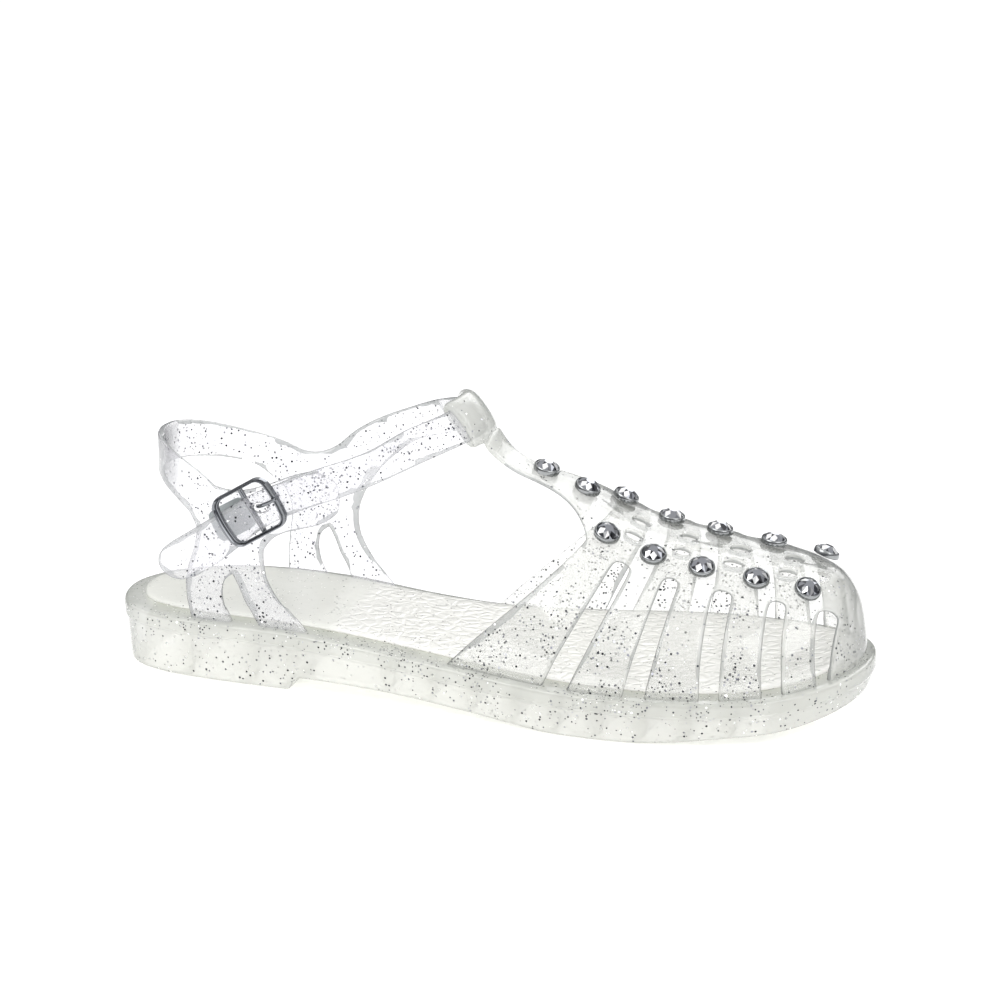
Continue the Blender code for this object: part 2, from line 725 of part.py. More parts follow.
def build_cage(finish):
    """The vamp: five straps a side, stone bands, woven centre, toe cap and T-bar, in one wall."""
    columns, lines = vamp_columns(), vamp_lines()
    window_middle = 0.5 * (BAR_HALF + WINDOW_OUT)
    index, places, lifts = {}, [], []

    def place_of(i, j):
        column = columns[i]
        zone, value = lines[j]
        turn = float(column.turn_at(zone, value))
        row = float(column.row(turn))
        number = column.kind[-1]
        left = column.kind.startswith("slot") and not columns[i - 1].kind.startswith("slot")
        right = not column.kind.startswith("slot") and columns[i - 1].kind.startswith("slot")
        if left or right:
            beside = columns[i + 1] if left else columns[i - 1]
            last = (column.kind if left else columns[i - 1].kind) == "slot5"
            near = abs(value) if zone == "centre" else None
            if near is not None and abs(near - BAND_OUT) < 1e-9:
                turn = float(column.turn_at(zone, value + math.copysign(0.29 * SLOT_ROUND, value)))
                row = 0.29 * float(beside.row(turn)) + 0.71 * float(column.row(turn))
            elif near is not None and not last and near in (BAR_HALF, WINDOW_OUT):
                inward = window_middle + (near - window_middle) * 0.72
                turn = float(column.turn_at(zone, math.copysign(inward, value)))
                row = 0.22 * float(beside.row(turn)) + 0.78 * float(column.row(turn))
        lift = 0.0
        if zone == "centre" and column.kind.startswith("strap") and number in "12345":
            middle_column = columns[i + 1].kind.startswith("slot")
            odd = int(number) % 2 == 1
            if odd and value == 0.0 or (not odd and middle_column and abs(value) <= WINDOW_OUT):
                lift = RAISE
        return last_point(row, turn), last_normal(row, turn), lift

    tip = len(columns) - 1

    def corner(i, j):
        j = 0 if i == tip else j
        if (i, j) not in index:
            point, normal, lift = place_of(i, j)
            index[i, j] = len(places)
            places.append((point, normal))
            lifts.append(lift)
        return index[i, j]

    faces = []
    for i in range(len(columns) - 1):
        for j in range(len(lines) - 1):
            if not is_open(columns[i].kind, lines, j):
                cell = [corner(i, j), corner(i + 1, j), corner(i + 1, j + 1), corner(i, j + 1)]
                faces.append([c for k, c in enumerate(cell) if c != cell[k - 1]])
    return mould("cage", places, faces, finish, lifts=lifts)


def strap_middle(along):
    """Height of the ankle strap's middle at an X."""
    return ANKLE_TOP * (1 + STRAP_RISE * (along / LENGTH + 0.5 - BUCKLE_AT))


def strap_lean(along):
    """How far the ankle strap leans back at an X, as length per height."""
    return STRAP_LEAN * float(ease((along / LENGTH + 0.15) / 0.12))


def strap_rise_of(along, across):
    """Height gained over a distance across the strap, which is less where it leans."""
    return across / math.sqrt(1 + strap_lean(along) ** 2)


OUTER_TURN = ANKLE_OUTLINE.girth[-1]  # once round the ankle
STRAIGHT_FROM = OUTER_TURN - float(ANKLE_OUTLINE.girth_of((0.29 - 0.5) * LENGTH, -1))
OVER = WALL + 3 * GAP + 2 * PIN  # how far the strap's outside stands off the quarter's, over the buckle's bar
QUARTER_REACH = (0.286 - 0.5) * LENGTH
FOOT_STRETCH = {
    side: float(SOLE_OUTLINE.girth_of(QUARTER_REACH, side) / ANKLE_OUTLINE.girth_of(QUARTER_REACH, side))
    for side in (-1, 1)
}


def ankle_plan(girth):
    """A point of the ankle in plan; the strap's end runs straight on past the buckle."""
    if girth <= STRAIGHT_FROM:
        return ANKLE_OUTLINE.walk(girth)[0]
    start, before = ANKLE_OUTLINE.walk([STRAIGHT_FROM, STRAIGHT_FROM - 0.002])
    return start + (start - before) / 0.002 * (girth - STRAIGHT_FROM)


def heel_surface(girth, height):
    """A point on the outside of the quarters and straps: distance round the ankle, and height."""
    x, y = ankle_plan(girth)
    if girth < 0.45 * OUTER_TURN:
        side = -1 if girth < 0 else 1
        foot = SOLE_OUTLINE.walk(girth * FOOT_STRETCH[side])
        row = float(SOLE_OUTLINE.row_of(foot[0][0], side))
        turn = row if side < 0 else 2 * SOLE_OUTLINE.rows - row
        foot = SOLE_OUTLINE.at(turn, LEDGE)[0][0]
        floor = float(sole_top(row))
        up = float(ease((height - floor) / (JOIN_HEIGHT - floor)))
        x, y = foot[0] + (x - foot[0]) * up, foot[1] + (y - foot[1]) * up
    return np.array([x - strap_lean(x) * (height - strap_middle(x)), y, height])


def heel_place(girth, height):
    """The point and the direction out, with the strap's end lifted over the quarter and the buckle's bar."""
    step = 0.0005
    run = heel_surface(girth + step, height) - heel_surface(girth - step, height)
    rise = heel_surface(girth, height + step) - heel_surface(girth, height - step)
    normal = np.cross(rise, run)
    normal /= np.linalg.norm(normal)
    lift_from = OUTER_TURN - float(ANKLE_OUTLINE.girth_of((0.43 - 0.5) * LENGTH, -1))
    lift_to = OUTER_TURN - float(ANKLE_OUTLINE.girth_of((0.36 - 0.5) * LENGTH, -1))
    lift = OVER * float(ease((girth - lift_from) / (lift_to - lift_from)))
    return heel_surface(girth, height) + normal * lift, normal


def girth_at(side, along):
    """Distance round the ankle of a place given as a share of LENGTH; side 2 is the strap's outer end."""
    x = (along - 0.5) * LENGTH
    if side == 1:
        return float(ANKLE_OUTLINE.girth_of(x, 1))
    if side == -1:
        return -float(ANKLE_OUTLINE.girth_of(x, -1))
    start = ankle_plan(STRAIGHT_FROM)
    if x >= start[0]:
        return OUTER_TURN - float(ANKLE_OUTLINE.girth_of(x, -1))
    slope = (ankle_plan(STRAIGHT_FROM + 0.01)[0] - start[0]) / 0.01
    return STRAIGHT_FROM + (x - start[0]) / slope


def smooth_run(knots, step):
    """Points about a step apart on a smooth open curve through the knots."""
    knots = np.array(knots)
    reach = np.concatenate([[0.0], np.cumsum(np.linalg.norm(np.diff(knots, axis=0), axis=1))])
    count = max(2, round(reach[-1] / step))
    return through(np.column_stack([reach, knots]), np.linspace(0, reach[-1], count + 1))


def heel_edges():
    """The outline of the quarters and straps laid flat, distance round the ankle and height, and where its feet end."""

    def flat(rows):
        return [(girth_at(side, along), height * ANKLE_TOP) for side, along, height in rows]

    def strap_edge(offset, reverse=False):
        girths = np.linspace(girth_at(1, 0.365), girth_at(2, 0.345), 26)
        along = [ankle_plan(g)[0] for g in girths]
        edge = [(g, strap_middle(x) + strap_rise_of(x, offset)) for g, x in zip(girths, along)]
        return edge[::-1] if reverse else edge

    def foot(girth, side):
        place = SOLE_OUTLINE.walk(girth * FOOT_STRETCH[side])[0]
        return float(sole_top(SOLE_OUTLINE.row_of(place[0], side))) + GAP

    def legs(side, ahead):
        return [(girth_at(side, along + ahead), height * ANKLE_TOP) for along, height in LEG_GAP]

    over = flat(TOP_EDGE) + strap_edge(0.5 * STRAP_WIDE) + flat(TAIL_EDGE)
    over += strap_edge(-0.5 * STRAP_WIDE, True) + flat(INNER_FRONT)
    runs = [
        smooth_run(over, 0.0050),
        smooth_run(legs(1, INNER_AHEAD)[::-1], 0.0045),
        smooth_run(flat(BACK_EDGE), 0.0060),
        smooth_run(legs(-1, 0.0), 0.0045),
    ]
    outline = []
    sides = ((-1, 1), (1, 1), (1, -1), (-1, -1))
    for run, (first, last) in zip(runs, sides):
        run[0][1] = foot(run[0][0], first)
        run[-1][1] = foot(run[-1][0], last)
    feet = [run[end][0] for run in runs for end in (0, -1)]
    for run, following, (_, side) in zip(runs, runs[1:] + runs[:1], sides):
        outline += [tuple(point) for point in run]
        for girth in np.linspace(run[-1][0], following[0][0], 5)[1:-1]:
            outline.append((girth, foot(girth, side)))
    return outline, feet


def sheet_from(outline, holes, spans):
    """A flat sheet inside an outline, with holes, cut at the places in spans along each axis: its corners and faces."""
    shape = bmesh.new()
    for loop in [outline, *holes]:
        corners = [shape.verts.new((u, v, 0.0)) for u, v in loop]
        for first, second in zip(corners, corners[1:] + corners[:1]):
            shape.edges.new((first, second))
    bmesh.ops.triangle_fill(shape, use_beauty=True, use_dissolve=False, edges=shape.edges)
    for axis, cuts in enumerate(spans):
        for cut in cuts:
            centre, direction = Vector((0, 0, 0)), Vector((0, 0, 0))
            centre[axis], direction[axis] = cut, 1.0
            everything = [*shape.verts, *shape.edges, *shape.faces]
            bmesh.ops.bisect_plane(shape, geom=everything, dist=1e-7, plane_co=centre, plane_no=direction)
    loose = []
    for edge in shape.edges:
        if len(edge.link_faces) != 2:
            continue
        a, b = (corner.co for corner in edge.verts)
        on_cut = any(
            abs(a[axis] - b[axis]) < 2e-7 and np.min(np.abs(spans[axis] - a[axis])) < 1e-6 for axis in (0, 1)
        )
        if not on_cut:
            loose.append(edge)
    bmesh.ops.dissolve_edges(shape, edges=loose, use_verts=False)
    idle = [v for v in shape.verts if len(v.link_edges) == 2 and all(len(e.link_faces) == 2 for e in v.link_edges)]
    bmesh.ops.dissolve_verts(shape, verts=idle)
    bmesh.ops.triangulate(shape, faces=shape.faces, quad_method="BEAUTY", ngon_method="BEAUTY")
    bmesh.ops.recalc_face_normals(shape, faces=shape.faces)
    if sum(face.normal.z * face.calc_area() for face in shape.faces) < 0:
        bmesh.ops.reverse_faces(shape, faces=shape.faces)
    shape.verts.ensure_lookup_table()
    corners = [(v.co.x, v.co.y) for v in shape.verts]
    faces = [[v.index for v in face.verts] for face in shape.faces]
    shape.free()
    return corners, faces


def sleeve_stations(beyond=0):
    """Distances round the ankle at which the sleeve is cut, and the strap in it too, with some more at each end."""
    apex = float(ANKLE_OUTLINE.girth_of(LENGTH, 1))
    steps = 8
    return apex + np.arange(-beyond, steps + beyond + 1) * SLEEVE_LONG / steps - 0.5 * SLEEVE_LONG


def prong_place():
    """Where the prong comes up through the strap: distance round the ankle and height."""
    girth = girth_at(2, BUCKLE_AT) - 0.0032
    return girth, strap_middle(ankle_plan(girth)[0])


def build_heel(finish):
    """Quarters, back strap and ankle strap in one wall."""
    girth, height = prong_place()
    turns = [k * math.pi / 4 for k in range(8)]
    hole = [(girth + 1.5 * PRONG_HOLE * math.cos(t), height + PRONG_HOLE * math.sin(t)) for t in turns]
    fine = sleeve_stations(6)
    coarse = np.arange(-0.16, 0.24, 0.0083)
    coarse = coarse[(coarse < fine[0] - 0.004) | (coarse > fine[-1] + 0.004)]
    outline, feet = heel_edges()
    coarse = [cut for cut in coarse if min(abs(cut - foot) for foot in feet) > 0.0018]
    heights = np.arange(0.0262, 0.1, 0.0100)
    corners, faces = sheet_from(outline, [hole], (np.sort([*coarse, *fine]), heights))
    # Seen from outside the girth runs backwards, so the faces are turned round
    faces = [face[::-1] for face in faces]
    return mould("quarters_and_strap", [heel_place(*corner) for corner in corners], faces, finish)


def sweep(name, path, normals, section, finish):
    """A closed bar along a path: section gives (side, up) pairs, up along the path's own normals."""
    path, normals = np.array(path, float), np.array(normals, float)
    body = Body()
    runs = np.gradient(path, axis=0)
    runs /= np.linalg.norm(runs, axis=1)[:, None]
    for k, (point, run, up) in enumerate(zip(path, runs, normals)):
        side = np.cross(run, up)
        side /= np.linalg.norm(side)
        up = np.cross(side, run)
        for n, (across, rise) in enumerate(section(k / (len(path) - 1))):
            body.corner((k, n), point + side * across + up * rise)
    count = len(section(0.0))
    for k in range(len(path) - 1):
        for n in range(count):
            m = (n + 1) % count
            body.face(body.named[k, n], body.named[k, m], body.named[k + 1, m], body.named[k + 1, n])
    body.face(*(body.named[0, n] for n in reversed(range(count))))
    body.face(*(body.named[len(path) - 1, n] for n in range(count)))
    return object_from(name, body.points, body.faces, finish)


def round_section(radius, sides):
    turns = [2 * math.pi * (k + 0.5) / sides for k in range(sides)]
    return lambda share: [(radius * math.cos(t), radius * math.sin(t)) for t in turns]


def build_sleeve():
    """The sleeve at the top of the T-bar, round the ankle strap, as a helper for the cage."""
    girths = sleeve_stations()
    body = Body()
    tall = 0.5 * STRAP_WIDE + GAP
    wide = tall + 0.0024
    # Each loop as (along the strap's width, off its outside)
    slot = ((-tall, GAP), (tall, GAP), (tall, -WALL - GAP), (-tall, -WALL - GAP))
    skin = (
        (-wide, 0.35 * SLEEVE_FRONT),
        (-0.6 * wide, SLEEVE_FRONT),
        (0.6 * wide, SLEEVE_FRONT),
        (wide, 0.35 * SLEEVE_FRONT),
        (wide, -WALL),
        (0.7 * wide, -WALL - SLEEVE_BACK),
        (-0.7 * wide, -WALL - SLEEVE_BACK),
        (-wide, -WALL),
    )
    for k, girth in enumerate(girths):
        along = ankle_plan(girth)[0]
        for name, loop in (("slot", slot), ("skin", skin)):
            for n, (across, off) in enumerate(loop):
                point, normal = heel_place(girth, strap_middle(along) + strap_rise_of(along, across))
                body.corner((name, k, n), point + normal * off)
    last = len(girths) - 1
    for k in range(last):
        for name, count in (("slot", 4), ("skin", 8)):
            for n in range(count):
                m = (n + 1) % count
                loop = [(name, k, n), (name, k, m), (name, k + 1, m), (name, k + 1, n)]
                body.face(*(body.named[c] for c in (loop if name == "skin" else reversed(loop))))
    # Mouths: each slot corner joins two skin corners
    near = ((7, 0, 1), (2, 3, 4), (4, 5), (6, 7))
    for k, flip in ((0, True), (last, False)):
        ring = [
            [("slot", k, 0), ("slot", k, 1), ("skin", k, 2), ("skin", k, 1)],
            [("slot", k, 1), ("slot", k, 2), ("skin", k, 5), ("skin", k, 4), ("skin", k, 3), ("skin", k, 2)],
            [("slot", k, 2), ("slot", k, 3), ("skin", k, 6), ("skin", k, 5)],
            [("slot", k, 3), ("slot", k, 0), ("skin", k, 1), ("skin", k, 0), ("skin", k, 7), ("skin", k, 6)],
        ]
        for loop in ring:
            body.face(*(body.named[c] for c in (loop if flip else reversed(loop))))
    return object_from("sleeve_helper", body.points, body.faces, None)


def unite(thing, helper):
    """Joins a helper into a piece; the helper itself isn't rendered."""
    helper.hide_render = True
    helper.display_type = "WIRE"
    join = thing.modifiers.new(f"join_{helper.name}", "BOOLEAN")
    join.operation = "UNION"
    join.solver = "EXACT"
    join.object = helper


def strap_axes(girth, height):
    """Origin, forward, up and out of the strap's outside at a place."""
    point, out = heel_place(girth, height)
    step = 0.004
    ahead = heel_surface(girth - step, height + BUCKLE_RISE * step)
    behind = heel_surface(girth + step, height - BUCKLE_RISE * step)
    forward = ahead - behind
    forward -= out * (forward @ out)
    forward /= np.linalg.norm(forward)
    return point, forward, np.cross(out, forward) * -1, out


def rounded_loop(long, tall, radius, corner_steps=3):
    """A rectangle with round corners, as (forward, up) pairs."""
    loop = []
    for quarter, (sx, sy) in enumerate(((1, 1), (-1, 1), (-1, -1), (1, -1))):
        for k in range(corner_steps + 1):
            turn = (quarter + k / corner_steps) * math.pi / 2
            x = sx * (0.5 * long - radius) + radius * math.cos(turn)
            y = sy * (0.5 * tall - radius) + radius * math.sin(turn)
            loop.append((x, y))
    return loop


def build_buckle(steel):
    """The frame with its middle bar under the strap, the prong and the plate on the quarter."""
    girth = girth_at(2, BUCKLE_AT)
    origin, forward, up, out = strap_axes(girth, strap_middle(ankle_plan(girth)[0]))

    def at(ahead, rise, off):
        return origin + forward * ahead + up * rise + out * off

    body = Body()
    window = 2 * BUCKLE_WIRE
    loops = (
        ("outer_low", rounded_loop(BUCKLE_LONG, BUCKLE_TALL, 0.0035), GAP),
        ("outer_high", rounded_loop(BUCKLE_LONG - 0.0006, BUCKLE_TALL - 0.0006, 0.0032), GAP + BUCKLE_THICK),
        ("inner_high", rounded_loop(BUCKLE_LONG - window + 0.0006, BUCKLE_TALL - window + 0.0006, 0.0018), GAP + BUCKLE_THICK),
        ("inner_low", rounded_loop(BUCKLE_LONG - window, BUCKLE_TALL - window, 0.0015), GAP),
    )
    for name, loop, off in loops:
        for n, (ahead, rise) in enumerate(loop):
            body.corner((name, n), at(ahead, rise, off))
    count = len(loops[0][1])
    for k in range(4):
        first, second = loops[k][0], loops[(k + 1) % 4][0]
        for n in range(count):
            m = (n + 1) % count
            body.face(body.named[first, n], body.named[first, m], body.named[second, m], body.named[second, n])
    frame = object_from("buckle_frame", body.points, body.faces, steel)
    reach = 0.5 * (BUCKLE_TALL - BUCKLE_WIRE)
    below = -WALL - GAP - PIN
    path = [
        at(0, -reach, GAP + 0.5 * BUCKLE_THICK),
        at(0, -reach, below + PIN),
        at(0, -reach + 0.5 * PIN, below + 0.3 * PIN),
        at(0, -reach + PIN, below),
        at(0, reach - PIN, below),
        at(0, reach - 0.5 * PIN, below + 0.3 * PIN),
        at(0, reach, below + PIN),
        at(0, reach, GAP + 0.5 * BUCKLE_THICK),
    ]
    bar = sweep("bar_helper", path, [forward] * len(path), round_section(PIN, 8), None)
    unite(frame, bar)

    ahead_of_bar = 2 * PIN + GAP
    path = [
        at(ahead_of_bar, 0, below),
        at(ahead_of_bar + 0.0007, 0, below + 0.0012),
        at(0.0048, 0, 0.0012),
        at(0.5 * BUCKLE_LONG - BUCKLE_WIRE - 0.0004, 0, GAP + BUCKLE_THICK + GAP + 0.8 * PIN),
        at(0.5 * BUCKLE_LONG - 0.0002, 0, GAP + BUCKLE_THICK + GAP + PIN),
    ]

    def taper(share):
        radius = PIN * (1 - 0.25 * share)
        return [(radius * math.cos(t), radius * math.sin(t)) for t in np.arange(8) * math.pi / 4 + math.pi / 8]

    sweep("buckle_prong", path, [out] * len(path), taper, steel)

    body = Body()
    middle = -ahead_of_bar - 0.5 * PLATE_LONG
    lean = math.atan(BUCKLE_RISE)
    centre = at(middle, 0, 0)
    start = girth_at(-1, centre[0] / LENGTH + 0.5)
    loop = rounded_loop(PLATE_LONG, PLATE_TALL, 0.0020)
    for n, (ahead, rise) in enumerate(loop):
        across = ahead * math.cos(lean) - rise * math.sin(lean)
        tall = centre[2] + ahead * math.sin(lean) + rise * math.cos(lean)
        seat, normal = heel_place(start - across, tall)
        body.corner(("low", n), seat + normal * GAP)
        body.corner(("high", n), seat + normal * (GAP + PLATE_THICK))
    for n in range(len(loop)):
        m = (n + 1) % len(loop)
        body.face(body.named["low", n], body.named["low", m], body.named["high", m], body.named["high", n])
    body.face(*(body.named["low", n] for n in reversed(range(len(loop)))))
    body.face(*(body.named["high", n] for n in range(len(loop))))
    object_from("buckle_plate", body.points, body.faces, steel)


def turned(name, profile, sides, frame, finish):
    """A turned piece: profile is (radius, height) from the axis at the bottom to the axis at the top."""
    body = Body()
    for n in range(sides):
        turn = 2 * math.pi * n / sides
        for k, (radius, height) in enumerate(profile):
            key = ("axis", k) if radius == 0 else (n, k)
            point = frame @ Vector((radius * math.cos(turn), radius * math.sin(turn), height))
            body.corner(key, point)
    for n in range(sides):
        m = (n + 1) % sides
        for k in range(len(profile) - 1):
            keys = [(n, k), (m, k), (m, k + 1), (n, k + 1)]
            keys = [("axis", key[1]) if profile[key[1]][0] == 0 else key for key in keys]
            body.face(*(body.named[key] for key in keys))
    return object_from(name, body.points, body.faces, finish)


def stone_places():
    """Name, row and turn of each stone: two on the T-bar and five on each band."""
    columns = vamp_columns()
    places = []
    for k, along in enumerate((0.571, 0.625)):
        row = float(crown_row(along))
        places.append((f"t{k + 1}", row, float(Column("bar", row, row, 0.006).turn_at("centre", 0.0))))
    for k in range(len(STRAPS)):
        column = [c for c in columns if c.kind == f"strap{k + 1}"][1]
        for name, side in (("outer", -1), ("inner", 1)):
            turn = float(column.turn_at("centre", side * STONE_ROW))
            places.append((f"{name}{k + 1}", float(column.row(turn)), turn))
    return places


def build_stones(steel, glass):
    sag = 0.0004  # a flat setting on the curved band
    seat = 0.0009
    bezel = (
        (0.0, 0.0),
        (0.93 * BEZEL, 0.0),
        (BEZEL, 0.35 * BEZEL_TALL),
        (0.93 * BEZEL, BEZEL_TALL),
        (STONE + GAP, BEZEL_TALL),
        (STONE + GAP, seat),
        (0.0, seat),
    )
    low = seat + GAP
    stone = ((0.0, low), (0.75 * STONE, low), (STONE, low + 0.0010), (0.55 * STONE, low + 0.0024), (0.0, low + 0.0024))
    for name, row, turn in stone_places():
        out = Vector(last_normal(row, turn))
        point = Vector(last_point(row, turn)) + out * (GAP + sag)
        ahead = (Vector((1, 0, 0)) - out * out.x).normalized()
        across = out.cross(ahead)
        axes = Matrix((ahead, across, out)).transposed().to_4x4()
        frame = Matrix.Translation(point) @ axes
        turned(f"setting_{name}", bezel, 12, frame, steel)
        turned(f"stone_{name}", stone, 8, frame, glass)


def centre_on_sole(sole):
    """Moves every mesh sideways so that the sole's middle is on Y = 0."""
    sides = [corner.co.y for corner in sole.data.vertices]
    middle = Matrix.Translation((0, -0.5 * (min(sides) + max(sides)), 0))
    for thing in bpy.data.objects:
        thing.data.transform(middle)


def main():
    clear_scene()
    clear_pvc = material("clear_glitter_pvc", (0.80, 0.81, 0.83), 0.12, alpha=0.55)
    sole_pvc = material("clear_sole_pvc", (0.72, 0.74, 0.71), 0.18, alpha=0.7)
    steel = material("polished_zinc_alloy", (0.55, 0.56, 0.58), 0.12, metallic=1.0)
    glass = material("cut_glass", (0.85, 0.87, 0.90), 0.02, alpha=0.6)
    sole = build_outsole(sole_pvc)
    build_footbed(sole_pvc)
    cage = build_cage(clear_pvc)
    unite(cage, build_sleeve())
    build_heel(clear_pvc)
    build_buckle(steel)
    build_stones(steel, glass)
    centre_on_sole(sole)


main()
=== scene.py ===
"""Looks of a clear glitter jelly sandal: moulded PVC over its solids, a plated buckle and set crystals.

Everything is in metres in the shoe's own frame: +X the toe, +Y the inner side, +Z up, the sole on Z = 0.
"""

import json
import logging
import math
from dataclasses import dataclass, field, replace
from enum import Enum

import bmesh
import bpy
import numpy as np
from mathutils import Matrix, Vector
from mathutils.bvhtree import BVHTree

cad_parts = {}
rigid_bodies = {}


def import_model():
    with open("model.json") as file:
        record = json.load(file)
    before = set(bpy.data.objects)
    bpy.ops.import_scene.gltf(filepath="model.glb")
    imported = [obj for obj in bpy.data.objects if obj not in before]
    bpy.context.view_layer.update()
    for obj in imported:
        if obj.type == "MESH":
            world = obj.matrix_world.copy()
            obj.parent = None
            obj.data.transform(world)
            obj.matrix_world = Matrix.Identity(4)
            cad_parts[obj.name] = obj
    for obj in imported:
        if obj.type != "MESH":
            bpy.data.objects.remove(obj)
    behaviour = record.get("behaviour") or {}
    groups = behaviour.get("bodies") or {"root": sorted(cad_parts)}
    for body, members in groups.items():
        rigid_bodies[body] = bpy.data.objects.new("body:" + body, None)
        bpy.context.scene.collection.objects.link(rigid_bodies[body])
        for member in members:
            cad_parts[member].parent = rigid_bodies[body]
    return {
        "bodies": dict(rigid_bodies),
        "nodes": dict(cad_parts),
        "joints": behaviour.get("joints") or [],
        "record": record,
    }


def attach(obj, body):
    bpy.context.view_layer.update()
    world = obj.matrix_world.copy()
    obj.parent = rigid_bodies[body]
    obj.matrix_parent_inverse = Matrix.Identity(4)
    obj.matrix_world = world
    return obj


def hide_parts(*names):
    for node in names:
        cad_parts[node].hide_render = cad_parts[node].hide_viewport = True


LOG = logging.getLogger("jelly_sandal")
MM = 0.001
# PVC behind a face, over which it is not the plain 2.2 mm wall
THICK = 2.75 * MM  # a raised or rounded part
CUT = 3.4 * MM  # a cut edge of the vamp
ACROSS = 6.5 * MM  # the edge of a strap, seen across its width
WELD = 0.003 * MM  # corners of a loaded solid that are closer than this are one
FOOT_GAP = 1.2 * MM  # a moulding's corners this near over the sole are its feet
FOOT_SINK = 0.35 * MM  # how far the feet are let in


class PaintedFacet(Enum):
    """The reflection painted on a facet of a crystal: its mirror colour stands for what the foil behind it sends
    back.
    """

    DARK = 0
    MID = 1
    BRIGHT = 2


def linear(hex_colour: str, alpha: float = 1.0) -> tuple[float, float, float, float]:
    """Turns an sRGB hex colour into linear values.

    Args:
        hex_colour: Such as "#C8CCCE".
        alpha: The fourth value.

    Returns:
        Red, green, blue and alpha.
    """
    values = [int(hex_colour[k : k + 2], 16) / 255 for k in (1, 3, 5)]
    red, green, blue = (v / 12.92 if v <= 0.04045 else ((v + 0.055) / 1.055) ** 2.4 for v in values)
    return red, green, blue, alpha


def node(tree: bpy.types.NodeTree, kind: str, settings: dict | None = None, **links: object) -> bpy.types.Node:
    """Adds one shader node.

    Args:
        tree: The material's or world's node tree.
        kind: The node's type, without the "ShaderNode" at its front.
        settings: Properties of the node itself.
        **links: Its inputs by name, with _ for a space: a value, or a socket to join. in0, in1 name them by place.

    Returns:
        The new node.
    """
    made = tree.nodes.new(f"ShaderNode{kind}")
    for name, value in (settings or {}).items():
        setattr(made, name, value)
    for name, value in links.items():
        place = name[2:]
        by_place = name.startswith("in") and place.isdigit()
        socket = made.inputs[int(place) if by_place else name.replace("_", " ")]
        if isinstance(value, bpy.types.NodeSocket):
            tree.links.new(value, socket)
        else:
            socket.default_value = value
    return made


def new_material(name: str) -> tuple[bpy.types.Material, bpy.types.NodeTree, bpy.types.Node]:
    """Makes an empty node material.

    Args:
        name: The material's name.

    Returns:
        The material, its node tree and its output node.
    """
    made = bpy.data.materials.new(name)
    made.use_nodes = True
    made.node_tree.nodes.clear()
    return made, made.node_tree, made.node_tree.nodes.new("ShaderNodeOutputMaterial")


PVC_IOR = 1.53
FROM_BEHIND = 0.35  # share of the film's scatter that comes from the light behind it
# Glitter is aluminium foil, all one colour: its flakes' dark greys and white are painted shade and painted glints,
# for flakes turned away from or to the light. Share of the flakes from which each tone starts: most are painted as
# turned away from the light
FOIL_SHADE_AND_GLINT = ((0.0, "#2C2D33"), (0.38, "#65666E"), (0.62, "#A3A4AC"), (0.78, "#FFFFFF"))
FOIL_ROUGHNESS = 0.28


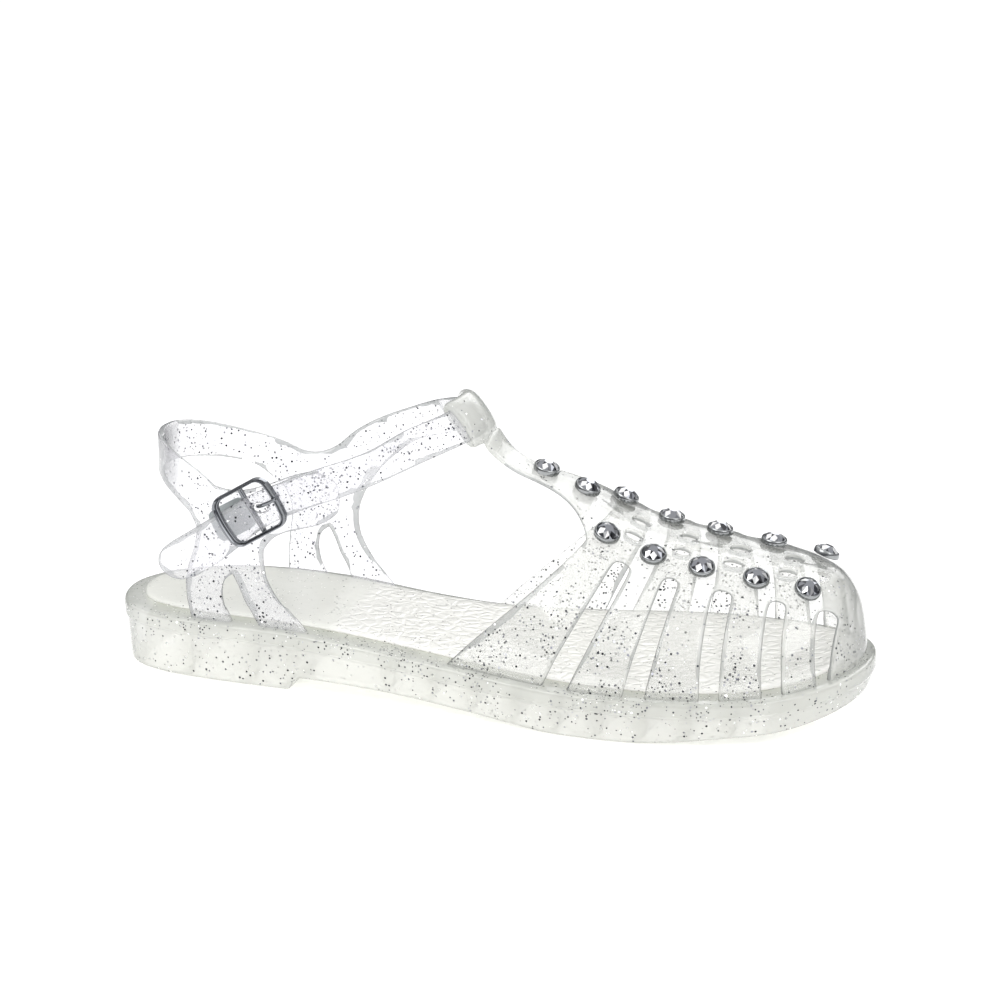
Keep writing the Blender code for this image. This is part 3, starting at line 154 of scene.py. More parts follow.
@dataclass(frozen=True)
class GlitterPvc:
    """Clear plasticised PVC with silver polyester glitter in it, injection moulded in a polished tool.

    The eye sees a clear film with a faint white haze, grey where its wall is seen edge on, full of bright and dark
    specks, under a wet gloss.
    """

    name: str
    haze: str  # colour that the film scatters
    veil: float  # share of the light that one skin of the wall scatters, seen square on
    depth: str  # colour of a long way through the wall
    rim: float  # share that the depth hides, seen edge on
    roughness: float
    flake: float  # flake's size in millimetres: real glitter is 0.2 to 0.4 and is drawn coarser, to show
    spacing: float  # between flakes in millimetres
    share: float  # share of the cells that hold a flake
    shade: str  # colour of its shadow
    grain: float = 0.0  # size of a moulded grain in millimetres
    grain_from: float = 0.0  # metres along the shoe where the grain starts
    grain_haze: str = ""  # colour of the grained part, whose domes scatter more
    settled: tuple[float, float] | None = None  # heights between which the flakes thin out towards the top

    def build(self) -> bpy.types.Material:
        """Makes the material.

        Returns:
            The material.
        """
        made, tree, out = new_material(self.name)
        place = node(tree, "TexCoord").outputs["Object"]
        relief, grained = self.relief(tree, place)
        # Plasticised PVC: IOR 1.53; the haze is the film's own scatter, a third of it let through from behind
        pale = linear(self.haze)
        if grained is not None:
            pale = node(tree, "MixRGB", Fac=grained, Color1=pale, Color2=linear(self.grain_haze)).outputs[0]
        lit = node(
            tree, "BsdfPrincipled", Base_Color=pale, Roughness=self.roughness, IOR=PVC_IOR, Normal=relief
        )
        through = node(tree, "BsdfTranslucent", Color=pale, Normal=relief)
        milk = node(tree, "MixShader", in0=FROM_BEHIND, in1=lit.outputs[0], in2=through.outputs[0])
        clear = node(tree, "BsdfTransparent", Color=linear("#FFFFFF"))
        film = node(tree, "MixShader", in0=self.veil, in1=clear.outputs[0], in2=milk.outputs[0])
        # Edge on, the light crosses much more PVC, so its grey shows
        slope = node(tree, "LayerWeight", Blend=0.5, Normal=relief)
        edge = node(tree, "MapRange", {"interpolation_type": "SMOOTHSTEP"}, Value=slope.outputs["Facing"])
        edge.inputs["From Min"].default_value = 0.25
        edge.inputs["To Max"].default_value = self.rim
        deep = node(
            tree, "BsdfPrincipled", Base_Color=linear(self.depth), Roughness=self.roughness, IOR=PVC_IOR
        )
        wall = node(tree, "MixShader", in0=edge.outputs[0], in1=film.outputs[0], in2=deep.outputs[0])
        # Gloss of the polished tool over all of it: 4% square on, rising to the edge
        steep = node(tree, "Math", {"operation": "POWER"}, in0=slope.outputs["Facing"], in1=5.0)
        sheen = node(tree, "MapRange", Value=steep.outputs[0], To_Min=0.045, To_Max=0.35)
        gloss = node(tree, "BsdfGlossy", Color=linear("#FFFFFF"), Roughness=self.roughness, Normal=relief)
        wet = node(tree, "MixShader", in0=sheen.outputs[0], in1=wall.outputs[0], in2=gloss.outputs[0])
        flakes, mask = self.flakes(tree, place)
        body = node(tree, "MixShader", in0=mask, in1=wet.outputs[0], in2=flakes)
        # Lamps shine through the film, so its shadow on the floor is pale
        path = node(tree, "LightPath")
        see = node(tree, "BsdfTransparent", Color=linear(self.shade))
        cast = node(tree, "MixShader", in0=path.outputs["Is Shadow Ray"], in1=body.outputs[0], in2=see.outputs[0])
        tree.links.new(cast.outputs[0], out.inputs["Surface"])
        return made

    def relief(
        self, tree: bpy.types.NodeTree, place: bpy.types.NodeSocket
    ) -> tuple[bpy.types.NodeSocket, bpy.types.NodeSocket | None]:
        """Adds the faint ripple that a polished tool leaves, and the pebbled grain where there is one.

        Args:
            tree: The material's node tree.
            place: The coordinates.

        Returns:
            The normal, and where the grain is.
        """
        ripple = node(tree, "TexNoise", Vector=place, Scale=1 / (6 * MM), Detail=2.0)
        bump = node(tree, "Bump", Strength=0.35, Distance=0.30 * MM, Height=ripple.outputs["Fac"])
        if not self.grain:
            return bump.outputs["Normal"], None
        bend = node(tree, "TexNoise", Vector=place, Scale=1 / (5 * MM), Detail=1.0)
        pushed = node(tree, "VectorMath", {"operation": "SCALE"}, in0=bend.outputs["Color"])
        pushed.inputs["Scale"].default_value = 3.0 * MM
        moved = node(tree, "VectorMath", {"operation": "ADD"}, in0=place, in1=pushed.outputs[0])
        pitch = self.grain * MM
        cells = node(tree, "TexVoronoi", {"feature": "DISTANCE_TO_EDGE"}, Vector=moved.outputs[0], Scale=1 / pitch)
        domes = node(tree, "MapRange", {"interpolation_type": "SMOOTHSTEP"}, Value=cells.outputs["Distance"])
        domes.inputs["From Max"].default_value = 0.28
        along = node(tree, "SeparateXYZ", Vector=place)
        region = node(tree, "MapRange", {"interpolation_type": "SMOOTHSTEP"}, Value=along.outputs["X"])
        region.inputs["From Min"].default_value = self.grain_from - 2 * MM
        region.inputs["From Max"].default_value = self.grain_from + 2 * MM
        height = node(tree, "Math", {"operation": "MULTIPLY"}, in0=domes.outputs[0], in1=region.outputs[0])
        pebbles = node(
            tree, "Bump", Strength=0.27, Distance=0.6 * MM, Height=height.outputs[0], Normal=bump.outputs["Normal"]
        )
        return pebbles.outputs["Normal"], region.outputs[0]

    def flakes(
        self, tree: bpy.types.NodeTree, place: bpy.types.NodeSocket
    ) -> tuple[bpy.types.NodeSocket, bpy.types.NodeSocket]:
        """Adds the glitter: cut foil squares lying every way in the wall.

        Args:
            tree: The material's node tree.
            place: The coordinates.

        Returns:
            The flakes' shader and where they are.
        """
        cells = node(tree, "TexVoronoi", {"feature": "F1"}, Vector=place, Scale=1 / (self.spacing * MM))
        chance = node(tree, "SeparateColor", Color=cells.outputs["Color"])
        # The flakes lie unevenly: patches some 14 mm across hold four times as many as those between them
        clump = node(tree, "TexNoise", Vector=place, Scale=1 / (14 * MM), Detail=1.0)
        wanted = node(
            tree, "MapRange", Value=clump.outputs["Fac"], From_Min=0.38, From_Max=0.62, To_Min=0.35, To_Max=1.6
        )
        limit = node(tree, "Math", {"operation": "MULTIPLY"}, in0=wanted.outputs[0], in1=self.share)
        if self.settled:
            lift = node(tree, "SeparateXYZ", Vector=place)
            sunk = node(tree, "MapRange", Value=lift.outputs["Z"], To_Min=1.5, To_Max=0.4)
            sunk.inputs["From Min"].default_value, sunk.inputs["From Max"].default_value = self.settled
            limit = node(tree, "Math", {"operation": "MULTIPLY"}, in0=limit.outputs[0], in1=sunk.outputs[0])
        held = node(tree, "Math", {"operation": "LESS_THAN"}, in0=chance.outputs[0], in1=limit.outputs[0])
        reach = 0.5 * self.flake / self.spacing
        size = node(tree, "MapRange", Value=chance.outputs[2], To_Min=0.55 * reach, To_Max=1.15 * reach)
        near = node(tree, "Math", {"operation": "LESS_THAN"}, in0=cells.outputs["Distance"], in1=size.outputs[0])
        mask = node(tree, "Math", {"operation": "MULTIPLY"}, in0=held.outputs[0], in1=near.outputs[0])
        # Foil: aluminium; each flake's base colour is painted shade or a painted glint, for a flake turned away from
        # or to the light
        flake_shade_and_glint = node(tree, "ValToRGB", Fac=chance.outputs[1])
        ramp = flake_shade_and_glint.color_ramp
        ramp.interpolation = "CONSTANT"
        ramp.elements[0].color = linear(FOIL_SHADE_AND_GLINT[0][1])
        ramp.elements[1].position, ramp.elements[1].color = FOIL_SHADE_AND_GLINT[1][0], linear(FOIL_SHADE_AND_GLINT[1][1])
        for position, colour in FOIL_SHADE_AND_GLINT[2:]:
            ramp.elements.new(position).color = linear(colour)
        # Each flake's own random colour tilts it
        centred = node(tree, "VectorMath", {"operation": "SUBTRACT"}, in0=cells.outputs["Color"], in1=(0.5, 0.5, 0.5))
        turned = node(tree, "VectorMath", {"operation": "SCALE"}, in0=centred.outputs[0])
        turned.inputs["Scale"].default_value = 0.9
        geometry = node(tree, "NewGeometry")
        tilt = node(tree, "VectorMath", {"operation": "ADD"}, in0=turned.outputs[0], in1=geometry.outputs["Normal"])
        facing = node(tree, "VectorMath", {"operation": "NORMALIZE"}, in0=tilt.outputs[0])
        foil = node(
            tree,
            "BsdfPrincipled",
            Base_Color=flake_shade_and_glint.outputs["Color"],
            Metallic=1.0,
            Roughness=FOIL_ROUGHNESS,
            Normal=facing.outputs[0],
        )
        return foil.outputs[0], mask.outputs[0]


@dataclass(frozen=True)
class PlatedZinc:
    """Zinc alloy, die cast, polished and nickel plated: a dark mirror with soft scratches."""

    name: str
    colour: str
    roughness: float
    worn: float = 0.12  # added to the roughness where it is scratched most

    def build(self) -> bpy.types.Material:
        """Makes the material.

        Returns:
            The material.
        """
        made, tree, out = new_material(self.name)
        place = node(tree, "TexCoord").outputs["Object"]
        wear = node(tree, "TexNoise", Vector=place, Scale=1 / (1.5 * MM), Detail=4.0)
        rough = node(
            tree, "MapRange", Value=wear.outputs["Fac"], To_Min=self.roughness, To_Max=self.roughness + self.worn
        )
        bump = node(tree, "Bump", Strength=0.15, Distance=0.05 * MM, Height=wear.outputs["Fac"])
        metal = node(
            tree,
            "BsdfPrincipled",
            Base_Color=linear(self.colour),
            Metallic=1.0,
            Roughness=rough.outputs[0],
            Normal=bump.outputs["Normal"],
        )
        tree.links.new(metal.outputs[0], out.inputs["Surface"])
        return made


@dataclass(frozen=True)
class FoiledCrystal:
    """Machine-cut glass with a mirror foil behind it: each facet is painted bright or nearly black, a reflection
    painted into its mirror colour.
    """

    name: str
    painted_reflections: tuple[tuple[PaintedFacet, str], ...]

    def build(self) -> list[bpy.types.Material]:
        """Makes a material for each painted reflection of a facet.

        Returns:
            The materials in the order of the facets' values.
        """
        finishes = []
        for facet, colour in sorted(self.painted_reflections, key=lambda pair: pair[0].value):
            made, tree, out = new_material(f"{self.name}_{facet.name.lower()}")
            place = node(tree, "TexCoord").outputs["Object"]
            # Polishing marks under 1 mm across break each facet's mirror up a little
            lines = node(tree, "TexNoise", Vector=place, Scale=1 / (0.8 * MM), Detail=2.0)
            rough = node(tree, "MapRange", Value=lines.outputs["Fac"], To_Min=0.02, To_Max=0.10)
            # The foil makes the cut a mirror under a clear coat of glass, IOR 1.55; its colour is the facet's painted
            # reflection, from white to nearly black
            metal = node(
                tree,
                "BsdfPrincipled",
                Base_Color=linear(colour),
                Metallic=1.0,
                Roughness=rough.outputs[0],
                Coat_Weight=0.6,
                Coat_Roughness=0.02,
                Coat_IOR=1.55,
            )
            tree.links.new(metal.outputs[0], out.inputs["Surface"])
            finishes.append(made)
        return finishes


# The upper's 2.2 mm sheet: nearly clear, and grey where it is cut, thick or seen edge on
STRAP_PVC = GlitterPvc(
    "clear_strap_pvc",
    haze="#EAE9EE",
    veil=0.22,
    depth="#636568",
    rim=0.80,
    roughness=0.10,
    flake=0.72,
    spacing=1.25,
    share=0.44,
    shade="#F4F4F6",
)
VAMP_PVC = replace(
    STRAP_PVC,
    name="clear_vamp_pvc",
    haze="#E1E2DD",
    veil=0.25,
    depth="#636662",
    shade="#F4F4F4",
    settled=(30 * MM, 46 * MM),
)
EDGE_PVC = GlitterPvc(
    "clear_strap_edge_pvc",
    haze="#A4A7A6",
    veil=0.72,
    depth="#5E6163",
    rim=0.70,
    roughness=0.16,
    flake=0.60,
    spacing=1.50,
    share=0.30,
    shade="#F0F0F2",
)
SLEEVE_PVC = GlitterPvc(
    "clear_thick_pvc",
    haze="#DADBD6",
    veil=0.72,
    depth="#7E827E",
    rim=0.60,
    roughness=0.20,
    flake=0.55,
    spacing=1.40,
    share=0.36,
    shade="#F0F0F2",
)
CAP_PVC = GlitterPvc(
    "clear_toe_cap_pvc",
    haze="#DFE0DB",
    veil=0.42,
    depth="#6B6E69",
    rim=0.80,
    roughness=0.12,
    flake=0.62,
    spacing=1.20,
    share=0.50,
    shade="#F0F0F2",
)
# The sole: a cloudy skin over its pockets, a solid greyer band round its top, and the insole's frosted grain
SOLE_PVC = GlitterPvc(
    "clear_sole_pvc",
    haze="#EBEBE8",
    veil=0.50,
    depth="#8A8D87",
    rim=0.70,
    roughness=0.14,
    flake=0.65,
    spacing=1.20,
    share=0.45,
    shade="#F4F4F2",
)
BAND_PVC = replace(
    SOLE_PVC,
    name="clear_sole_band_pvc",
    haze="#D9DAD5",
    veil=0.68,
    depth="#7D817A",
    flake=0.60,
    spacing=1.00,
    share=0.55,
)
INSOLE_PVC = GlitterPvc(
    "clear_insole_pvc",
    haze="#F1F1ED",
    veil=0.78,
    depth="#A8AAA4",
    rim=0.45,
    roughness=0.22,
    flake=0.50,
    spacing=1.10,
    share=0.45,
    shade="#F4F4F2",
    grain=4.2,
    grain_from=-46 * MM,
    grain_haze="#FAF9F7",
)
BUCKLE_METAL = PlatedZinc("plated_zinc_buckle", "#85878B", 0.08)
PLATE_METAL = PlatedZinc("satin_zinc_plate", "#A9AEAF", 0.38)
SETTING_METAL = PlatedZinc("plated_zinc_setting", "#9C9E9F", 0.12)
# The crystal's facets: painted reflections, white, grey and nearly black, as the mirror's colour
CRYSTAL = FoiledCrystal(
    "foiled_crystal", ((PaintedFacet.DARK, "#3F4044"), (PaintedFacet.MID, "#8B8D93"), (PaintedFacet.BRIGHT, "#FFFFFF"))
)


def refined(
    source: bpy.types.Object,
    name: str,
    levels: int,
    *finishes: bpy.types.Material,
    crease: float = 0.0,
    seat: bpy.types.Object | None = None,
) -> bpy.types.Object:
    """Makes a smooth fine copy of a solid's mesh, with its edges softened as a mould leaves them.

    Args:
        source: The solid's object.
        name: Name of the new piece.
        levels: Times each face is split in four.
        *finishes: The piece's materials, the first on every face.
        crease: How far edges over 35 degrees are kept, from 0 to 1.
        seat: The piece that its feet are moulded to; they are let into it and keep their corners.

    Returns:
        The new piece.
    """
    mesh = bpy.data.meshes.new(name)
    shape = bmesh.new()
    shape.from_mesh(source.data)
    bmesh.ops.remove_doubles(shape, verts=shape.verts, dist=WELD)
    bmesh.ops.join_triangles(
        shape,
        faces=shape.faces,
        angle_face_threshold=math.radians(25),
        angle_shape_threshold=math.radians(60),
    )
    keep = shape.edges.layers.float.new("crease_edge")
    if crease:
        for edge in shape.edges:
            if len(edge.link_faces) == 2 and edge.calc_face_angle(0.0) > math.radians(35):
                edge[keep] = crease
    if seat is not None:
        let_in(shape, seat, keep)
    shape.to_mesh(mesh)
    shape.free()
    piece = bpy.data.objects.new(name, mesh)
    bpy.context.scene.collection.objects.link(piece)
    mesh.materials.clear()
    for finish in finishes:
        mesh.materials.append(finish)
    for face in mesh.polygons:
        face.material_index = 0
    mesh.shade_smooth()
    if levels:
        split = piece.modifiers.new("soften", "SUBSURF")
        split.levels = split.render_levels = levels
    return piece


def show_edges(piece: bpy.types.Object, *finishes: tuple[float, int]) -> None:
    """Gives the thick parts and cut edges of a sheet moulding their own finishes: light crosses more PVC there.

    Args:
        piece: The moulding.
        finishes: The least depth of PVC behind a face and the finish's place on the piece, from thin to thick.
    """
    mesh = piece.data
    behind = BVHTree.FromPolygons(
        [corner.co for corner in mesh.vertices], [tuple(face.vertices) for face in mesh.polygons]
    )
    for face in mesh.polygons:
        start = face.center - face.normal * 0.02 * MM  # from just inside, so that the face isn't hit itself
        hit, _, _, deep = behind.ray_cast(start, -face.normal, 200 * MM)
        for wall, slot in finishes:
            if hit is not None and deep > wall:
                face.material_index = slot


def let_in(shape: bmesh.types.BMesh, seat: bpy.types.Object, keep: bmesh.types.BMLayerItem) -> None:
    """Lets the feet of a moulding into the piece below, so that no gap shows round them.

    Args:
        shape: The moulding.
        seat: The piece below.
        keep: The layer that holds how sharp each edge stays.
    """
    top = BVHTree.FromObject(seat, bpy.context.evaluated_depsgraph_get())
    feet = set()
    for corner in shape.verts:
        above = corner.co + Vector((0, 0, 0.1 * MM))
        hit, _, _, gap = top.ray_cast(above, Vector((0, 0, -1)), FOOT_GAP)
        if hit is not None:
            corner.co.z -= gap + FOOT_SINK
            feet.add(corner)
    for edge in shape.edges:
        if edge.verts[0] in feet and edge.verts[1] in feet:
            edge[keep] = 1.0
        elif edge.verts[0] in feet or edge.verts[1] in feet:
            edge[keep] = 0.6


def settle(piece: bpy.types.Object, slot: str, *solids: str) -> None:
    """Makes a piece ride on the shoe and stand for its solids.

    Args:
        piece: The piece.
        slot: The record's material slot; not used.
        *solids: Names of the solids that it replaces.
    """
    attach(piece, "root")
    if solids:
        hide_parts(*solids)
    LOG.info("%s: %d faces", piece.name, len(piece.data.polygons))


@dataclass
class Upper:
    """The vamp with its T-bar and sleeve, and the quarters with the straps."""

    levels: int = 2
    cap_from: float = 0.1122  # metres along the shoe where the toe cap starts
    sleeve: tuple[float, float] = (0.004, 0.0755)  # the sleeve lies behind this X and over this height
    bar_to: float = 0.034  # the T-bar is thick from the sleeve to its second stone, which hides where it thins
    bar_over: float = 0.055  # height that the whole of that length is over

    def build(self, solids: dict[str, bpy.types.Object]) -> None:
        """Makes both pieces.

        Args:
            solids: The solids by name.
        """
        clear, body, thick, cap, edge = (
            finish.build() for finish in (STRAP_PVC, VAMP_PVC, SLEEVE_PVC, CAP_PVC, EDGE_PVC)
        )
        vamp = refined(solids["cage"], "moulded_vamp", self.levels, body, thick, cap, edge, seat=solids["outsole"])
        show_edges(vamp, (THICK, 2), (CUT, 3))
        for face in vamp.data.polygons:
            x, _, z = face.center
            if x < self.sleeve[0] and z > self.sleeve[1]:
                face.material_index = 1
            elif face.material_index == 0 and (x > self.cap_from or x < self.bar_to and z > self.bar_over):
                face.material_index = 2
        settle(vamp, "clear_glitter_pvc", "cage")
        quarters = refined(
            solids["quarters_and_strap"], "moulded_quarters", self.levels, clear, edge, seat=solids["outsole"]
        )
        show_edges(quarters, (ACROSS, 1))
        settle(quarters, "clear_glitter_pvc", "quarters_and_strap")


@dataclass
class Sole:
    """The hollow sole with its band, and the insole in it."""

    levels: int = 2
    band: float = 5.0 * MM  # height of the band, with its soft lower edge
    near: float = 12 * MM  # the sole's top edge is looked up over this much of its length

    def build(self, solids: dict[str, bpy.types.Object]) -> None:
        """Makes both pieces.

        Args:
            solids: The solids by name.
        """
        skin, solid = SOLE_PVC.build(), BAND_PVC.build()
        sole = refined(solids["outsole"], "moulded_sole", self.levels, skin, solid, crease=0.35)
        # The band is solid PVC and the wall under it is a skin, so the band is the greyer one
        mesh = sole.data
        tops = sorted((corner.co.x, corner.co.z) for corner in mesh.vertices if corner.normal.z > 0.5)
        xs, zs = np.array([p[0] for p in tops]), np.array([p[1] for p in tops])
        for face in mesh.polygons:
            x, _, z = face.center
            close = np.abs(xs - x) < self.near
            if close.any() and z > zs[close].max() - self.band:
                face.material_index = 1
        settle(sole, "clear_sole_pvc", "outsole")
        settle(refined(solids["footbed"], "insole", self.levels, INSOLE_PVC.build()), "clear_sole_pvc", "footbed")


def lying(source: bpy.types.Object) -> tuple[Matrix, np.ndarray]:
    """Finds how a flat solid lies.

    Args:
        source: The solid's object.

    Returns:
        A frame at the middle of its box, with its longest way first, pointing to the toe, and its thin way last,
        pointing out; and its box in that frame.
    """
    corners = np.array([tuple(corner.co) for corner in source.data.vertices])
    shape = bmesh.new()
    shape.from_mesh(source.data)
    bmesh.ops.remove_doubles(shape, verts=shape.verts, dist=WELD)
    bmesh.ops.dissolve_limit(shape, angle_limit=math.radians(2), verts=shape.verts, edges=shape.edges)
    # Its longest straight sharp edges run along it, and the longest of those across run up it
    sharp = (edge for edge in shape.edges if len(edge.link_faces) == 2)
    sharp = (edge for edge in sharp if edge.calc_face_angle(0.0) > math.radians(20))
    runs = sorted((edge.verts[1].co - edge.verts[0].co for edge in sharp), key=lambda run: -run.length)
    shape.free()
    runs = [run.normalized() for run in runs]
    ahead = np.array(runs[0])
    up = np.array(next(run for run in runs if abs(run.dot(runs[0])) < 0.2))
    ahead = ahead if ahead[0] > 0 else -ahead
    out = np.cross(ahead, up)
    out = (out if out[2] - out[1] > 0 else -out) / np.linalg.norm(out)
    turned = np.stack([ahead, np.cross(out, ahead), out])
    within = corners @ turned.T
    low, high = within.min(axis=0), within.max(axis=0)
    frame = Matrix(turned.tolist()).transposed().to_4x4()
    frame.translation = Vector(0.5 * (low + high) @ turned)
    return frame, high - low


def lathe(shape: bmesh.types.BMesh, profile: tuple[tuple[float, float], ...], sides: int, frame: Matrix) -> None:
    """Turns a profile round the frame's third axis, closed at both ends.

    Args:
        shape: The mesh that it is added to.
        profile: Radius and height of each ring, in metres.
        sides: Faces round.
        frame: Where it stands.
    """
    rings = []
    turns = [2 * math.pi * n / sides for n in range(sides)]
    for radius, height in profile:
        ring = [Vector((radius * math.cos(turn), radius * math.sin(turn), height)) for turn in turns]
        rings.append([shape.verts.new(frame @ point) for point in ring])
    for low, high in zip(rings, rings[1:]):
        for n in range(sides):
            m = (n + 1) % sides
            shape.faces.new((low[n], low[m], high[m], high[n]))
    shape.faces.new(reversed(rings[0]))
    shape.faces.new(rings[-1])


def piece_of(shape: bmesh.types.BMesh, name: str, smooth: bool, *finishes: bpy.types.Material) -> bpy.types.Object:
    """Makes an object of a finished mesh.

    Args:
        shape: The mesh, which is freed.
        name: The piece's name.
        smooth: Whether its faces are shaded as one surface up to 40 degrees.
        *finishes: Its materials.

    Returns:
        The piece.
    """
    mesh = bpy.data.meshes.new(name)
    bmesh.ops.recalc_face_normals(shape, faces=shape.faces)
    shape.to_mesh(mesh)
    shape.free()
    for finish in finishes:
        mesh.materials.append(finish)
    if smooth:
        mesh.shade_smooth()
        mesh.set_sharp_from_angle(angle=math.radians(40))
    piece = bpy.data.objects.new(name, mesh)
    bpy.context.scene.collection.objects.link(piece)
    return piece


@dataclass
class Buckle:
    """The frame with its bowed ends and inner lip, the bar, the prong and the plate."""

    long: float = 22.4 * MM  # over the bowed ends
    tall: float = 18.0 * MM
    thick: float = 1.9 * MM
    bow: float = 0.9 * MM  # how far the ends curve out
    end_wide: float = 2.5 * MM
    side_wide: float = 1.3 * MM
    corner: float = 3.6 * MM
    inner_corner: float = 2.0 * MM
    bar: float = 0.9 * MM  # radius of the middle bar
    bar_tip: float = 0.3 * MM  # radius of its ends, inside the frame
    bar_slope: float = 0.5 * MM
    # Across the wire: share of its width, share of its thickness; the dip leaves the lip round the window
    section: tuple[tuple[float, float], ...] = (
        (0.00, 0.10), (0.04, 0.60), (0.16, 0.95), (0.34, 1.00), (0.52, 0.86),
        (0.62, 0.50), (0.72, 0.62), (0.84, 0.60), (0.94, 0.40), (1.00, 0.10),
    )
    plate_longer: float = 5.5 * MM  # how far its round end is drawn out past the frame

    def build(self, solids: dict[str, bpy.types.Object]) -> None:
        """Makes the three pieces.

        Args:
            solids: The solids by name.
        """
        metal, satin = BUCKLE_METAL.build(), PLATE_METAL.build()
        settle(self.frame(solids["buckle_frame"], metal), "polished_zinc_alloy", "buckle_frame")
        settle(refined(solids["buckle_prong"], "plated_prong", 2, metal), "polished_zinc_alloy", "buckle_prong")
        ahead = np.array(lying(solids["buckle_frame"])[0].col[0][:3])
        settle(self.plate(solids["buckle_plate"], satin, ahead), "polished_zinc_alloy", "buckle_plate")

    def loop(self, long: float, tall: float, radius: float) -> list[tuple[float, float]]:
        """A rectangle with round corners and bowed ends.

        Args:
            long: Its length over the bow.
            tall: Its height.
            radius: Of its corners.

        Returns:
            Its points.
        """
        points = []
        half = 0.5 * long - self.bow
        for quarter, (sx, sy) in enumerate(((1, 1), (-1, 1), (-1, -1), (1, -1))):
            across, up = sx * (half - radius), sy * (0.5 * tall - radius)
            for k in range(9):
                turn = (quarter + k / 8) * math.pi / 2
                points.append((across + radius * math.cos(turn), up + radius * math.sin(turn)))
            x, y = half * sx, 0.5 * tall * sy
            for left in (1 - 2 * k / 6 for k in range(1, 6)):
                points.append((x * left, y) if sx * sy > 0 else (x, y * left))
        return [(x + self.bow * x / half * max(0.0, 1 - (2 * y / tall) ** 2), y) for x, y in points]

    def frame(self, source: bpy.types.Object, metal: bpy.types.Material) -> bpy.types.Object:
        """Makes the frame and the bar across its middle.

        Args:
            source: The solid that it stands for.
            metal: Its finish.

        Returns:
            The piece.
        """
        place, size = lying(source)
        # The solid's bar hangs below the frame; the frame is its outer part
        base = 0.5 * size[2] - self.thick
        shape = bmesh.new()
        outer = self.loop(self.long, self.tall, self.corner)
        inner = self.loop(self.long - 2 * self.end_wide, self.tall - 2 * self.side_wide, self.inner_corner)
        rings = []
        for share, height in self.section:
            ring = []
            for (ox, oy), (ix, iy) in zip(outer, inner):
                point = Vector((ox + (ix - ox) * share, oy + (iy - oy) * share, base + height * self.thick))
                ring.append(shape.verts.new(place @ point))
            rings.append(ring)
        for near, far in zip(rings, rings[1:] + rings[:1]):
            for n in range(len(near)):
                m = (n + 1) % len(near)
                shape.faces.new((near[n], near[m], far[m], far[n]))
        reach = 0.5 * (self.tall - self.side_wide)
        under = 0.5 * (base - 0.5 * size[2]) - 0.2 * MM
        end = place @ Matrix.Translation((0, reach, under)) @ Matrix.Rotation(math.radians(90), 4, "X")
        steps = (
            (self.bar_tip, 0.0),
            (self.bar, self.bar_slope),
            (self.bar, 2 * reach - self.bar_slope),
            (self.bar_tip, 2 * reach),
        )
        lathe(shape, steps, 12, end)
        return piece_of(shape, "plated_frame", True, metal)

    def plate(self, source: bpy.types.Object, satin: bpy.types.Material, ahead: np.ndarray) -> bpy.types.Object:
        """Makes the plate that is folded round the bar, with a round free end.

        Args:
            source: The solid that it stands for.
            satin: Its finish.
            ahead: The direction along the strap to the toe.

        Returns:
            The piece.
        """
        piece = refined(source, "satin_plate", 3, satin, crease=0.3)
        corners = np.array([tuple(corner.co) for corner in source.data.vertices])
        front, back = (corners @ ahead).max(), (corners @ ahead).min()
        for corner in piece.data.vertices:
            share = (front - float(np.dot(corner.co, ahead))) / (front - back)
            corner.co -= Vector(ahead) * self.plate_longer * share
        return piece


